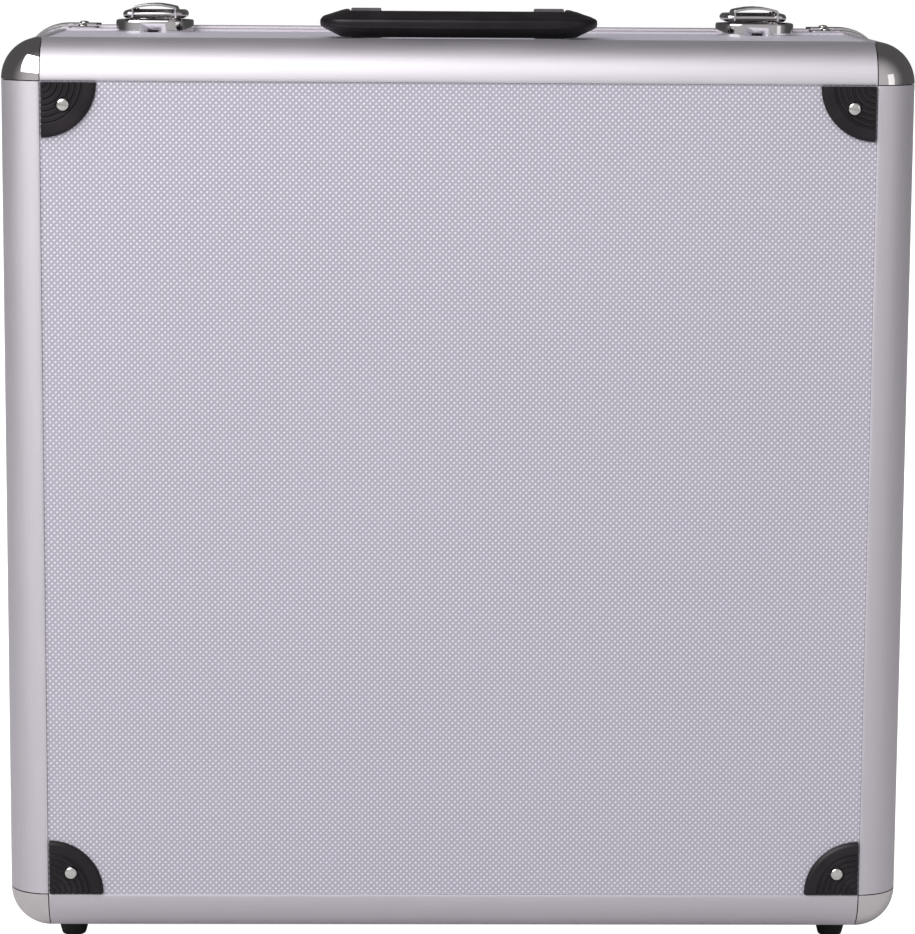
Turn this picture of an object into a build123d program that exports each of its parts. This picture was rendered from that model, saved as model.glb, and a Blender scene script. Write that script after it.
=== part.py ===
"""Aluminium carrying case for a telescope mount, closed and standing on its feet.

Millimetres. +X to the viewer's right, +Y from the front face to the back, +Z up.
The origin is on the floor, under the middle of the case.
The deeper front half is the base, the shallower rear half is the lid, hinged at the bottom seam.
"""

import os
from math import cos, pi, radians, sin, sqrt

from build123d import *

# Overall sizes, over the outer faces of the rails
case_width = 450.0
case_height = 449.0
base_depth = 155.0
lid_depth = 85.0
foot_height = 11.0

# Boards and rails
rail_radius = 20.5
rail_wall = 1.6
rail_web = 4.0
rail_flange_reach = 7.0
rail_flange_gap = 0.3
rail_flange = 1.2
laminate_recess = 0.9
board_thickness = 3.6
joint_gap = 0.1

# Ball corner caps
cap_prong_length = 9.0
cap_prong_width = 7.0
cap_prong_thickness = 1.5
cap_prong_clearance = 0.3

# Closing frames at the seam
seam_gap = 0.3
strip_width = 10.0
base_strip_proud = 0.3
lid_strip_proud = 1.6
frame_inner_skin = 1.2
frame_skin_depth = 14.0
frame_end_web = 1.6
groove_depth = 6.0
groove_wall = 1.4
tongue_length = 4.0
tongue_thickness = 1.2
tongue_gap_outer = 0.5
tongue_gap_inner = 1.1

# Chrome brackets on the corners of the closing frames
bracket_thickness = 1.0
bracket_leg = 38.0
bracket_width = 9.4
bracket_from_rim = 0.3
bracket_end_cut = 2.6
bracket_rivet_from_side = 29.0
seat_clearance = 0.05

# Corner pads
pad_radius = 27.0
pad_thickness = 2.6
pad_rim_width = 2.0
pad_rim_height = 1.1
pad_setback = 0.7
pad_rivet_inset = 11.5

# Flats that stand for the curve of rivet heads, of other small round parts, and of the frames' corners
rivet_flats = 8
round_flats = 12
corner_flats = 6

# Rivet heads; their shanks fill the holes that they close
pad_rivet_radius = 3.1
pad_rivet_height = 1.2
small_rivet_radius = 2.4
small_rivet_height = 1.1
rivet_crown_share = 0.6

# Feet
foot_from_side = 29.7
foot_from_face = 40.0
foot_top_radius = 9.0
foot_tip_radius = 5.6
foot_screw_head_radius = 2.9
foot_screw_head_height = 2.0
foot_recess_radius = 3.3
foot_recess_depth = 3.0

# Hinges
hinge_from_side = 95.0
hinge_length = 54.0
hinge_knuckles = 3
hinge_knuckle_radius = 2.6
hinge_knuckle_gap = 0.3
hinge_pin_radius = 1.3
hinge_running_clearance = 0.05
hinge_leaf = 1.2
hinge_leaf_reach = 25.0
hinge_axis_drop = 4.6
hinge_neck_reach = 3.8
hinge_rivet_from_seam = 18.5
hinge_rivet_spacing = 36.0
joggle_gap = 0.2

# Latches, measured from the latch's own middle, from the seam and from the rails' outer plane
latch_from_side = 68.0
plate_width = 40.0
plate_front = 36.0
plate_back = 1.5
plate_corner = 13.0
plate_rim_top = 5.3
plate_floor_top = 1.5
plate_wall = 1.3
plate_notch_width = 5.5
plate_notch_height = 1.6
lever_pin_back = 6.0
lever_pin_height = 8.7
lever_pin_radius = 1.5
ear_inner = 9.1
ear_thickness = 1.1
ear_half_width = 2.2
ear_top_cut = 1.3
lever_width = 23.5
lever_front = 29.0
lever_top = 13.7
lever_crown = 1.5
lever_sheet = 1.15
lever_heel_radius = 2.8
lever_heel_ramp = 5.0
lever_back_reach = 1.0
lever_toe_run = 2.5
lever_toe_rise = 3.5
lever_flange_bottom = 2.9
lever_running_clearance = 0.05
bail_pivot_back = 24.0
bail_length = 28.0
bail_height = 8.0
bail_wire_radius = 2.1
bail_width = 33.0
bail_corner = 1.6
keeper_width = 22.0
keeper_tab_width = 18.0
keeper_tab_top = 9.3
keeper_sheet = 1.2
keeper_from_seam = 0.4
keeper_reach = 26.0
keeper_rivet_from_seam = 19.0
keeper_rivet_spacing = 12.0
plate_rivet_from_seam = 21.0
plate_rivet_spacing = 12.0

# Carrying handle, folded forward; its pivot line is measured from the front face
handle_pivot_from_face = 66.0
handle_width = 137.0
handle_lift = 0.4
handle_thickness = 12.9
handle_reach = 52.0
handle_bow = 2.2
handle_bar_depth = 20.0
handle_arm_inner = 54.0
handle_taper_start = 50.0
handle_taper_depth = 13.0
handle_taper_bulge = 3.0
handle_inner_corner = 6.0
handle_edge_cut = 2.8
handle_bevel_angle = 40.0
handle_bore_depth = 10.0
handle_pin_radius = 2.5
handle_pin_clearance = 0.06
handle_pin_end_gap = 0.5
handle_bracket_width = 15.2
handle_bracket_gap = 0.4
handle_bracket_half_depth = 14.0
handle_bracket_foot = 2.6
handle_bracket_rise = 2.0
handle_bracket_radius = 7.0
handle_rivet_offset = 10.5

# Foam
foam_clearance = 0.3
foam_corner_cut = 9.0
foam_back_thickness = 30.0
foam_face_below_seam = 4.0
foam_layer_gap = 0.2
lid_foam_thickness = 38.0

# Pockets in the base foam as (middle x, middle z from the case's middle, width, height)
mount_body_pocket = (-95.0, 40.0, 140.0, 270.0)
mount_arm_pocket = (15.0, 85.0, 120.0, 110.0)
controller_pocket = (95.0, -85.0, 190.0, 70.0)
bar_pocket = (0.0, -168.0, 360.0, 36.0)
weight_pocket_radius = 45.0
weight_pocket_x = 145.0
weight_pocket_heights = (130.0, 20.0)

# How far a cut runs past the face that it opens
overcut = 1.0

# Places worked out from the sizes
face_y = -(base_depth + lid_depth) / 2
seam_y = face_y + base_depth
back_y = seam_y + lid_depth
bottom_z = foot_height
top_z = bottom_z + case_height
middle_z = bottom_z + case_height / 2
run_width = case_width - 2 * rail_radius
run_height = case_height - 2 * rail_radius
board_inner = laminate_recess + board_thickness
flange_inner = board_inner + rail_flange
groove_outer = board_inner + frame_inner_skin
tongue_outer = groove_outer + tongue_gap_outer
groove_inner = tongue_outer + tongue_thickness + tongue_gap_inner
frame_inner = groove_inner + groove_wall
base_rim_y = seam_y - seam_gap / 2
lid_rim_y = seam_y + seam_gap / 2
foot_x = case_width / 2 - foot_from_side
hinge_x = case_width / 2 - hinge_from_side
latch_x = case_width / 2 - latch_from_side
strip_step = strip_width + seam_gap / 2 + joggle_gap
pivot_y = face_y + handle_pivot_from_face
pivot_height = handle_lift + handle_thickness / 2


class Side:
    """One of the four outer planes round the case: u runs along it, y goes back, n points out."""

    def __init__(self, origin, along, out, run):
        self.plane = Plane(origin=origin, x_dir=along, z_dir=out)
        self.run = run

    def put(self, shape):
        return self.plane.location * shape


sides = {
    "top": Side((0, 0, top_z), (1, 0, 0), (0, 0, 1), run_width),
    "right": Side((case_width / 2, 0, middle_z), (0, 0, -1), (1, 0, 0), run_height),
    "bottom": Side((0, 0, bottom_z), (-1, 0, 0), (0, 0, -1), run_width),
    "left": Side((-case_width / 2, 0, middle_z), (0, 0, 1), (-1, 0, 0), run_height),
}
diagonal = Plane(origin=(0, 0, 0), z_dir=(1, 1, 0))


def block(low, high):
    """Box between two corners."""
    size = [b - a for a, b in zip(low, high)]
    middle = [(a + b) / 2 for a, b in zip(low, high)]
    return Pos(*middle) * Box(*size)


def patch(low, high):
    """Flat rectangle between two corners."""
    middle = [(a + b) / 2 for a, b in zip(low, high)]
    return Pos(*middle) * Rectangle(high[0] - low[0], high[1] - low[1])


def rod(start, end, radius):
    """Round bar from one point to another; its flats lie inside its circle."""
    run = Vector(*end) - Vector(*start)
    plane = Plane(origin=start, z_dir=run)
    return plane.location * extrude(RegularPolygon(radius, round_flats), run.length)


def bore(start, end, radius):
    """Cutter for a hole that clears a bar of this radius; its flats lie outside the circle."""
    return rod(start, end, radius / cos(pi / round_flats))


def stud(foot_radius, tip_radius, height, flats):
    """Tapered round stud standing on z = 0."""
    seat = Plane.XY * RegularPolygon(foot_radius, flats)
    tip = Plane.XY.offset(height) * RegularPolygon(tip_radius, flats)
    return loft([seat, tip], ruled=True)


def rivet(radius, height):
    """Rivet head standing on z = 0."""
    return stud(radius, radius * rivet_crown_share, height, rivet_flats)


def save(name, shapes):
    """Write one node: a single solid, or a group of separate ones."""
    shapes = shapes if isinstance(shapes, list) else [shapes]
    solids = [solid for shape in shapes for solid in shape.solids()]
    for solid in solids:
        solid.label = name
    export_step(solids[0] if len(solids) == 1 else Compound(children=solids), f"parts/{name}.step")


# Rails


def skin_section():
    """Quarter-round skin at upper left of the arc's centre."""
    quarter = patch((-rail_radius, 0), (0, rail_radius))
    return (Circle(rail_radius) - Circle(rail_radius - rail_wall)) & quarter


def web_section():
    """The thick seats at the two ends of the skin, against which the boards' edges stand."""
    seat = rail_radius - board_inner
    web = patch((-rail_web, seat - rail_flange), (0, rail_radius)) & Circle(rail_radius)
    return web + web.mirror(diagonal)


def flange_section():
    """The two flanges that lie behind the boards; they stop short of the rail's ends."""
    seat = rail_radius - board_inner
    flange = patch((-rail_web, seat - rail_flange), (rail_flange_reach, seat))
    return flange + flange.mirror(diagonal)


def face_rail(side, at_back):
    """Rail along one edge of a face board, between two ball caps."""
    half = side.run / 2 - joint_gap
    flange_half = half - rail_flange_reach - rail_flange_gap
    section = Plane(origin=(0, 0, 0), x_dir=(0, 1, 0), z_dir=(1, 0, 0)).location
    bar = extrude(section * (skin_section() + web_section()), half, both=True)
    bar += extrude(section * flange_section(), flange_half, both=True)
    bar = Pos(0, face_y + rail_radius, -rail_radius) * bar
    if at_back:
        bar = bar.mirror(Plane.XZ)
        bar = Pos(0, back_y + face_y, 0) * bar
    return side.put(bar)


def depth_rails(face_end, strip_end, frame_end):
    """Four rails along the edges between the walls: the skin runs to the strip, the rest to the frame."""
    toward = 1 if strip_end > face_end else -1
    flange_start = face_end + toward * (rail_flange_reach + rail_flange_gap)
    parts = (
        (skin_section(), face_end, strip_end),
        (web_section(), face_end, frame_end),
        (flange_section(), flange_start, frame_end),
    )
    bars = []
    for index, (sx, sz) in enumerate([(-1, 1), (1, 1), (1, -1), (-1, -1)]):
        corner = Pos(sx * run_width / 2, 0, middle_z + sz * run_height / 2)
        turn = corner * Plane(origin=(0, 0, 0), x_dir=(1, 0, 0), z_dir=(0, -1, 0)).location * Rot(0, 0, -90 * index)
        bar = Part()
        for outline, start, end in parts:
            low, high = sorted([start, end])
            bar += extrude(Pos(0, low, 0) * turn * outline, high - low, dir=(0, 1, 0))
        bars.append(bar)
    return bars


def ball_caps(centre_y, back):
    """Die-cast eighth-balls that close the corners, cut away for the foam, with a prong into each rail."""
    r = rail_radius
    quarter = make_face(
        Line((0, 0), (r, 0)) + ThreePointArc((r, 0), (r / sqrt(2), r / sqrt(2)), (0, r)) + Line((0, r), (0, 0))
    )
    cap = Rot(0, 0, 180) * revolve(Plane.XZ * quarter, Axis.Z, 90)
    corner = (r - rail_wall - cap_prong_clearance) / sqrt(2)
    wide, thick = cap_prong_width - corner, corner - cap_prong_thickness
    cap += block((0, -corner, thick), (cap_prong_length, wide, corner))
    cap += block((-corner, 0, thick), (wide, cap_prong_length, corner))
    cap += block((-corner, -corner, -cap_prong_length), (-thick, wide, 0))
    room = foam_sheet(face_y + flange_inner, back_y - flange_inner, foam_clearance - foam_layer_gap)
    caps = []
    for sx in (-1, 1):
        for sz in (-1, 1):
            one = cap
            if sx > 0:
                one = one.mirror(Plane.YZ)
            if sz < 0:
                one = one.mirror(Plane.XY)
            if back:
                one = one.mirror(Plane.XZ)
            caps.append(Pos(sx * run_width / 2, centre_y, middle_z + sz * run_height / 2) * one - room)
    return caps


# Boards


def face_board(outer_y, inward):
    """Large face board between its four rails."""
    half_w = run_width / 2 - joint_gap
    half_h = run_height / 2 - joint_gap
    near, far = sorted([outer_y + inward * laminate_recess, outer_y + inward * board_inner])
    return block((-half_w, near, middle_z - half_h), (half_w, far, middle_z + half_h))


def wall_board(side, y_range):
    """Side wall board: its far edge sits in the closing frame's channel."""
    half = side.run / 2 - joint_gap
    return side.put(block((-half, y_range[0], -board_inner), (half, y_range[1], -laminate_recess)))


# Closing frames


def round_outline(drop):
    """The case's outline a distance below the rails, with its four round corners."""
    r = rail_radius - drop
    points = []
    for index, (sx, sz) in enumerate([(1, 1), (-1, 1), (-1, -1), (1, -1)]):
        for step in range(corner_flats + 1):
            angle = radians(90 * (index + step / corner_flats))
            points.append((sx * run_width / 2 + r * cos(angle), sz * run_height / 2 + r * sin(angle)))
    return make_face(Polyline(*points, close=True))


def hoop(y0, y1, inner, outer):
    """Ring round the case between two depths; inner and outer are distances below the rails."""
    plane = Plane(origin=(0, y0, middle_z), x_dir=(1, 0, 0), z_dir=(0, -1, 0))
    shapes = [extrude(plane.location * round_outline(drop), y1 - y0, dir=(0, 1, 0)) for drop in (outer, inner)]
    return shapes[0] - shapes[1]


def mitred(frame, depth_range):
    """The frame's four lengths, cut apart through the corners."""
    pieces = []
    out, inward = 2 * rail_radius, frame_inner + rail_radius
    for side in sides.values():
        half = side.run / 2
        wedge = Polyline(
            (-half - out, out), (half + out, out), (half - inward, -inward), (-half + inward, -inward), close=True
        )
        face = make_face(wedge)
        plane = Plane(origin=(0, depth_range[0], -rail_radius), x_dir=(1, 0, 0), z_dir=(0, -1, 0))
        prism = extrude(plane.location * face, depth_range[1] - depth_range[0], dir=(0, 1, 0))
        pieces.append(frame & side.put(prism))
    return pieces


def base_frame():
    """Outer strip, channel for the boards, and the groove that takes the lid's tongue."""
    rim = base_rim_y
    ring = hoop(rim - strip_width, rim, laminate_recess, -base_strip_proud)
    ring += hoop(rim - frame_end_web, rim, groove_outer, laminate_recess)
    ring += hoop(rim - frame_skin_depth, rim, groove_outer, board_inner)
    ring += hoop(rim - groove_depth - groove_wall, rim, frame_inner, groove_outer)
    ring -= hoop(rim - groove_depth, rim + 1, groove_inner, groove_outer)
    return ring


def lid_frame():
    """Outer strip, channel for the boards, and the tongue."""
    rim = lid_rim_y
    ring = hoop(rim, rim + strip_width, laminate_recess, -lid_strip_proud)
    ring += hoop(rim, rim + frame_end_web, frame_inner, laminate_recess)
    ring += hoop(rim, rim + frame_skin_depth, groove_outer, board_inner)
    ring += hoop(rim - tongue_length, rim + frame_end_web, tongue_outer + tongue_thickness, tongue_outer)
    return ring


def corner_brackets(y0, strip_proud):
    """Chrome straps round the four corners of a closing frame, and their rivets."""
    under = strip_proud + seat_clearance
    over = under + bracket_thickness
    strap = hoop(y0, y0 + bracket_width, -under, -over)
    head = rivet(small_rivet_radius, small_rivet_height)
    straps, rivets = [], []
    reach = bracket_leg + over
    for sx in (-1, 1):
        for sz in (-1, 1):
            x_out, z_out = sx * (case_width / 2 + over), middle_z + sz * (case_height / 2 + over)
            clip = block((0, y0, 0), (reach, y0 + bracket_width, reach))
            ends = clip.edges().filter_by(Axis.Z).group_by(Axis.X)[-1]
            ends += clip.edges().filter_by(Axis.X).group_by(Axis.Z)[-1]
            clip = chamfer(ends, bracket_end_cut)
            clip = clip if sx < 0 else clip.mirror(Plane.YZ)
            clip = clip if sz < 0 else clip.mirror(Plane.XY)
            straps.append(strap & (Pos(x_out, 0, z_out) * clip))
            across = case_width / 2 - bracket_rivet_from_side
            up = case_height / 2 - bracket_rivet_from_side
            middle = y0 + bracket_width / 2
            for spot in (
                Plane(origin=(sx * across, middle, z_out), z_dir=(0, 0, sz)),
                Plane(origin=(x_out, middle, middle_z + sz * up), z_dir=(sx, 0, 0)),
            ):
                rivets.append(spot.location * head)
    return straps, rivets


# Corner pads


def pad_spots(face):
    """Places of the four pads on a face plane, each turned into its corner."""
    half_w = run_width / 2 - pad_setback
    half_h = run_height / 2 - pad_setback
    corners = [(-half_w, -half_h), (half_w, -half_h), (half_w, half_h), (-half_w, half_h)]
    return [face.location * Pos(x, y, 0) * Rot(0, 0, 90 * i) for i, (x, y) in enumerate(corners)]


def corner_pad():
    """Quarter disc with a sloping rim; it lies on z = 0."""
    shoulder = pad_radius - pad_rim_width
    points = [(0, 0), (pad_radius, 0), (pad_radius, pad_rim_height), (shoulder, pad_thickness), (0, pad_thickness)]
    return revolve(make_face(Plane.XZ * Polyline(*points, close=True)), Axis.Z, 90)


def pad_rivet():
    """Rivet that holds a pad to its board."""
    inset = pad_rivet_inset - pad_setback
    return Pos(inset, inset, pad_thickness) * rivet(pad_rivet_radius, pad_rivet_height)


# Feet


def foot():
    """Tapered rubber foot hanging from z = 0, with a recess for its screw."""
    tall = foot_height + laminate_recess
    recess = Pos(0, 0, -tall) * extrude(RegularPolygon(foot_recess_radius, rivet_flats), foot_recess_depth)
    return Rot(180, 0, 0) * stud(foot_top_radius, foot_tip_radius, tall, round_flats) - recess


def foot_screw():
    """Head of the screw that holds the foot, down in its recess."""
    seat = foot_recess_depth - foot_height - laminate_recess
    return Pos(0, 0, seat) * Rot(180, 0, 0) * rivet(foot_screw_head_radius, foot_screw_head_height)


def foot_spots(y):
    """Places of a pair of feet on the bottom laminate."""
    return [Pos(x, y, bottom_z + laminate_recess) for x in (-foot_x, foot_x)]


# Hinges


def leaf_profile(toward, strip_proud):
    """Joggled leaf in (distance from the seam, distance below the rails): on the strip, then on the board."""
    on_strip, on_board = strip_proud, -laminate_recess
    points = [
        (seam_gap / 2, on_strip),
        (strip_step, on_strip),
        (strip_step, on_board),
        (hinge_leaf_reach, on_board),
        (hinge_leaf_reach, on_board + hinge_leaf),
        (strip_step + hinge_leaf, on_board + hinge_leaf),
        (strip_step + hinge_leaf, on_strip + hinge_leaf),
        (seam_gap / 2, on_strip + hinge_leaf),
    ]
    return [(toward * a, b) for a, b in points]


def hinge_leaf_solid(toward, strip_proud, first):
    """One leaf with its knuckles: in the bottom side's frame, about u = 0."""
    half = hinge_length / 2
    outline = make_face(Polyline(*leaf_profile(toward, strip_proud), close=True))
    plane = Plane(origin=(-half, seam_y, 0), x_dir=(0, 1, 0), z_dir=(1, 0, 0))
    leaf = extrude(plane.location * outline, hinge_length, dir=(1, 0, 0))
    pitch = hinge_length / hinge_knuckles
    for index in range(hinge_knuckles):
        u0 = -half + index * pitch + hinge_knuckle_gap / 2
        u1 = u0 + pitch - hinge_knuckle_gap
        if index % 2 == first:
            near, far = sorted([seam_y + toward * seam_gap / 2, seam_y + toward * hinge_neck_reach])
            leaf += block((u0, near, strip_proud), (u1, far, hinge_axis_drop))
            leaf += rod(*hinge_axis(u0, u1), hinge_knuckle_radius)
        else:
            near, far = sorted([seam_y, seam_y + toward * (hinge_knuckle_radius + hinge_knuckle_gap)])
            leaf -= block(
                (u0 - hinge_knuckle_gap, near, strip_proud - overcut),
                (u1 + hinge_knuckle_gap, far, strip_proud + hinge_leaf + overcut),
            )
    return leaf - bore(*hinge_axis(-half - overcut, half + overcut), hinge_pin_radius + hinge_running_clearance)


def hinge_axis(u0, u1):
    """Two points on a hinge's axis, in the bottom side's frame."""
    return (u0, seam_y, hinge_axis_drop), (u1, seam_y, hinge_axis_drop)


def hinge_rivet_spots(toward):
    """Rivet places on one leaf, in the bottom side's frame."""
    y = seam_y + toward * hinge_rivet_from_seam
    height = hinge_leaf - laminate_recess
    return [(sx * hinge_rivet_spacing / 2, y, height) for sx in (-1, 1)]


# Latches


def latch_frame(x):
    """Place of a latch: its middle, at the seam, on the rails' outer plane."""
    return Pos(x, seam_y, top_z)


def latch_plate():
    """Dished base plate with two ears for the lever's pin."""
    deep = plate_front - plate_back
    middle = -(plate_front + plate_back) / 2
    floor = -laminate_recess
    outline = Pos(0, middle) * RectangleRounded(plate_width, deep, plate_corner)
    room = Pos(0, middle) * RectangleRounded(
        plate_width - 2 * plate_wall, deep - 2 * plate_wall, plate_corner - plate_wall
    )
    dish = Pos(0, 0, floor) * extrude(outline, plate_rim_top - floor)
    dish -= Pos(0, 0, plate_floor_top) * extrude(room, plate_rim_top)
    dish -= block((-plate_width, -strip_step, floor - overcut), (plate_width, 0, base_strip_proud))
    half = plate_notch_width / 2
    dish -= block(
        (-half, -plate_front - overcut, floor - overcut), (half, plate_wall - plate_front, floor + plate_notch_height)
    )
    for sx in (-1, 1):
        x0, x1 = sorted([sx * ear_inner, sx * (ear_inner + ear_thickness)])
        low = (x0, -lever_pin_back - ear_half_width, plate_floor_top)
        ear = block(low, (x1, -lever_pin_back + ear_half_width, lever_pin_height + ear_half_width))
        dish += chamfer(ear.edges().filter_by(Axis.X).group_by(Axis.Z)[-1], ear_top_cut)
    reach = ear_inner + ear_thickness + overcut
    return dish - bore((-reach, -lever_pin_back, lever_pin_height), (reach, -lever_pin_back, lever_pin_height),
                       lever_pin_radius + seat_clearance)


def plate_rivet_places():
    return [(sx * plate_rivet_spacing / 2, -plate_rivet_from_seam) for sx in (-1, 1)]


def lever_pin():
    """Pin through the ears and the lever's flanges."""
    half = lever_width / 2
    return rod((-half, -lever_pin_back, lever_pin_height), (half, -lever_pin_back, lever_pin_height), lever_pin_radius)


def lever_section(inset):
    """Crowned channel section in (x, height), shrunk by a sheet's thickness for the inside."""
    half = lever_width / 2 - inset
    top = lever_top - inset
    shoulder = top - lever_crown
    return make_face(
        Line((-half, 0), (-half, shoulder))
        + ThreePointArc((-half, shoulder), (0, top), (half, shoulder))
        + Line((half, shoulder), (half, 0))
        + Line((half, 0), (-half, 0))
    )


def latch_lever():
    """Hollow lever pressed from sheet: crowned top, two flanges, open at the front."""
    plane = Plane(origin=(0, -lever_front, 0), x_dir=(1, 0, 0), z_dir=(0, -1, 0))
    long = lever_front - lever_pin_back + lever_heel_radius
    shell = extrude(plane.location * lever_section(0), long, dir=(0, 1, 0))
    shell -= extrude(plane.location * lever_section(lever_sheet), long, dir=(0, 1, 0))
    heel, high = -lever_pin_back, lever_pin_height
    side = make_face(
        Polyline(
            (heel, high - lever_heel_radius),
            (heel - lever_heel_ramp, lever_flange_bottom),
            (-lever_front + lever_toe_run, lever_flange_bottom),
            (-lever_front, lever_flange_bottom + lever_toe_rise),
            (-lever_front, lever_top + overcut),
            (heel + lever_back_reach, lever_top + overcut),
            (heel + lever_back_reach, high),
            (heel, high),
            close=True,
        )
    )
    side += Pos(heel, high) * RegularPolygon(lever_heel_radius, round_flats)
    profile = Plane(origin=(-lever_width / 2, 0, 0), x_dir=(0, 1, 0), z_dir=(1, 0, 0))
    lever = shell & extrude(profile.location * side, lever_width, dir=(1, 0, 0))
    reach = lever_width
    lever -= bore((-reach, heel, high), (reach, heel, high), lever_pin_radius + lever_running_clearance)
    return lever - bore(
        (-reach, -bail_pivot_back, bail_height),
        (reach, -bail_pivot_back, bail_height),
        bail_wire_radius + lever_running_clearance,
    )


def latch_bail():
    """Closed loop of round wire: its front run turns in the lever, its rear run catches the keeper."""
    half = bail_width / 2 - bail_wire_radius
    front, rear, cut = -bail_pivot_back, bail_length - bail_pivot_back, bail_corner
    corners = [
        (0, front),
        (half - cut, front),
        (half, front + cut),
        (half, rear - cut),
        (half - cut, rear),
        (cut - half, rear),
        (-half, rear - cut),
        (-half, front + cut),
        (cut - half, front),
    ]
    path = Pos(0, 0, bail_height) * Polyline(*corners, close=True)
    ring = RegularPolygon(bail_wire_radius, round_flats)
    return sweep(Plane(origin=(0, front, bail_height), z_dir=(1, 0, 0)).location * ring, path,
                 transition=Transition.RIGHT)


def keeper():
    """Pressed keeper on the lid's strip, its tab standing inside the bail's rear run."""
    near = keeper_from_seam
    low, high = lid_strip_proud, lid_strip_proud + keeper_sheet
    floor = -laminate_recess
    outline = Polyline(
        (near, low),
        (strip_step, low),
        (strip_step, floor),
        (keeper_reach, floor),
        (keeper_reach, floor + keeper_sheet),
        (strip_step + keeper_sheet, floor + keeper_sheet),
        (strip_step + keeper_sheet, high),
        (near + keeper_sheet, high),
        (near + keeper_sheet, keeper_tab_top),
        (near, keeper_tab_top),
        close=True,
    )
    half = keeper_width / 2
    plane = Plane(origin=(-half, 0, 0), x_dir=(0, 1, 0), z_dir=(1, 0, 0))
    piece = extrude(plane.location * make_face(outline), keeper_width, dir=(1, 0, 0))
    for sx in (-1, 1):
        x0, x1 = sorted([sx * keeper_tab_width / 2, sx * half])
        piece -= block((x0, 0, high), (x1, near + keeper_sheet + overcut, keeper_tab_top + overcut))
    return piece


def keeper_rivet_places():
    return [(sx * keeper_rivet_spacing / 2, keeper_rivet_from_seam) for sx in (-1, 1)]


# Handle


def handle_grip():
    """Moulded grip folded forward: a bowed bar with tapered ends and two pivot arms."""
    half = handle_width / 2
    front = -handle_reach
    side_y = front + handle_bow
    inner = -handle_reach + handle_bar_depth
    r = handle_inner_corner
    arm_in = handle_arm_inner
    start = handle_taper_start
    corner_y = side_y + handle_taper_depth
    bulge = handle_taper_bulge
    right = [
        ThreePointArc(
            (start, side_y),
            ((start + half) / 2 + bulge, (side_y + corner_y) / 2 - bulge),
            (half, corner_y),
        ),
        Line((half, corner_y), (half, 0)),
        Line((half, 0), (arm_in, 0)),
        Line((arm_in, 0), (arm_in, inner + r)),
        RadiusArc((arm_in, inner + r), (arm_in - r, inner), r),
    ]
    left = [edge.mirror(Plane.YZ) for edge in right]
    front_arc = ThreePointArc((-start, side_y), (0, front), (start, side_y))
    back_line = Line((arm_in - r, inner), (r - arm_in, inner))
    outline = make_face(Wire([*right, *left, front_arc, back_line]))
    straight = handle_thickness / 2 - handle_edge_cut
    bevel = Pos(0, 0, straight) * extrude(outline, handle_edge_cut, taper=handle_bevel_angle)
    bar = extrude(outline, straight, both=True) + bevel + bevel.mirror(Plane.XY)
    for sx in (-1, 1):
        end = rod((sx * arm_in, 0, 0), (sx * half, 0, 0), handle_thickness / 2)
        rim = end.faces().sort_by(Axis.X)[0 if sx < 0 else -1].edges()
        bar += chamfer(rim, handle_edge_cut)
        depth = (sx * (arm_in - overcut), 0, 0), (sx * (arm_in + handle_bore_depth), 0, 0)
        bar -= bore(*depth, handle_pin_radius + handle_pin_clearance)
    return Pos(0, pivot_y, top_z + pivot_height) * bar


def handle_bracket_span(sx):
    return sorted([sx * (handle_arm_inner - handle_bracket_gap - handle_bracket_width),
                   sx * (handle_arm_inner - handle_bracket_gap)])


def handle_bracket(sx):
    """Saddle bracket that carries one handle pin."""
    x0, x1 = handle_bracket_span(sx)
    foot, half, r = -laminate_recess, handle_bracket_half_depth, handle_bracket_radius
    low = foot + handle_bracket_foot
    shoulder = low + handle_bracket_rise
    outline = make_face(
        Polyline(
            (-half, foot), (half, foot), (half, low), (r, low), (r, shoulder), (r, pivot_height),
            (-r, pivot_height), (-r, shoulder), (-r, low), (-half, low), close=True,
        )
    )
    outline += Pos(0, pivot_height) * RegularPolygon(r, round_flats)
    plane = Plane(origin=(x0, 0, 0), x_dir=(0, 1, 0), z_dir=(1, 0, 0))
    piece = extrude(plane.location * outline, x1 - x0, dir=(1, 0, 0))
    piece -= bore((x0 - overcut, 0, pivot_height), (x1 + overcut, 0, pivot_height), handle_pin_radius + seat_clearance)
    return Pos(0, pivot_y, top_z) * piece


def handle_pin(sx):
    """Pivot pin from the bracket's inner face into the handle's blind bore."""
    x0, x1 = handle_bracket_span(sx)
    inner, outer = (x0, x1) if sx > 0 else (x1, x0)
    end = outer + sx * (handle_bracket_gap + handle_bore_depth - handle_pin_end_gap)
    return rod((inner, pivot_y, top_z + pivot_height), (end, pivot_y, top_z + pivot_height), handle_pin_radius)


def handle_rivet_places():
    """Points over the top laminate where the brackets' rivets sit."""
    places = []
    for sx in (-1, 1):
        x0, x1 = handle_bracket_span(sx)
        places += [((x0 + x1) / 2, pivot_y + dy) for dy in (-handle_rivet_offset, handle_rivet_offset)]
    return places


# Foam


def foam_sheet(y0, y1, clearance=foam_clearance):
    """Foam sheet that fills the shell inside the closing frame, with its corners cut off."""
    inset = frame_inner + clearance
    sheet = Rectangle(case_width - 2 * inset, case_height - 2 * inset)
    outline = chamfer(sheet.vertices(), foam_corner_cut)
    plane = Plane(origin=(0, y0, middle_z), x_dir=(1, 0, 0), z_dir=(0, -1, 0))
    return extrude(plane.location * outline, y1 - y0, dir=(0, 1, 0))


def pocket_outlines():
    """Flat outlines of the pockets in (x, height above the case's middle)."""
    shapes = []
    for x, z, wide, tall in (mount_body_pocket, mount_arm_pocket, controller_pocket, bar_pocket):
        shapes.append(Pos(x, z) * Rectangle(wide, tall))
    for z in weight_pocket_heights:
        shapes.append(Pos(weight_pocket_x, z) * Circle(weight_pocket_radius))
    return shapes


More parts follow.
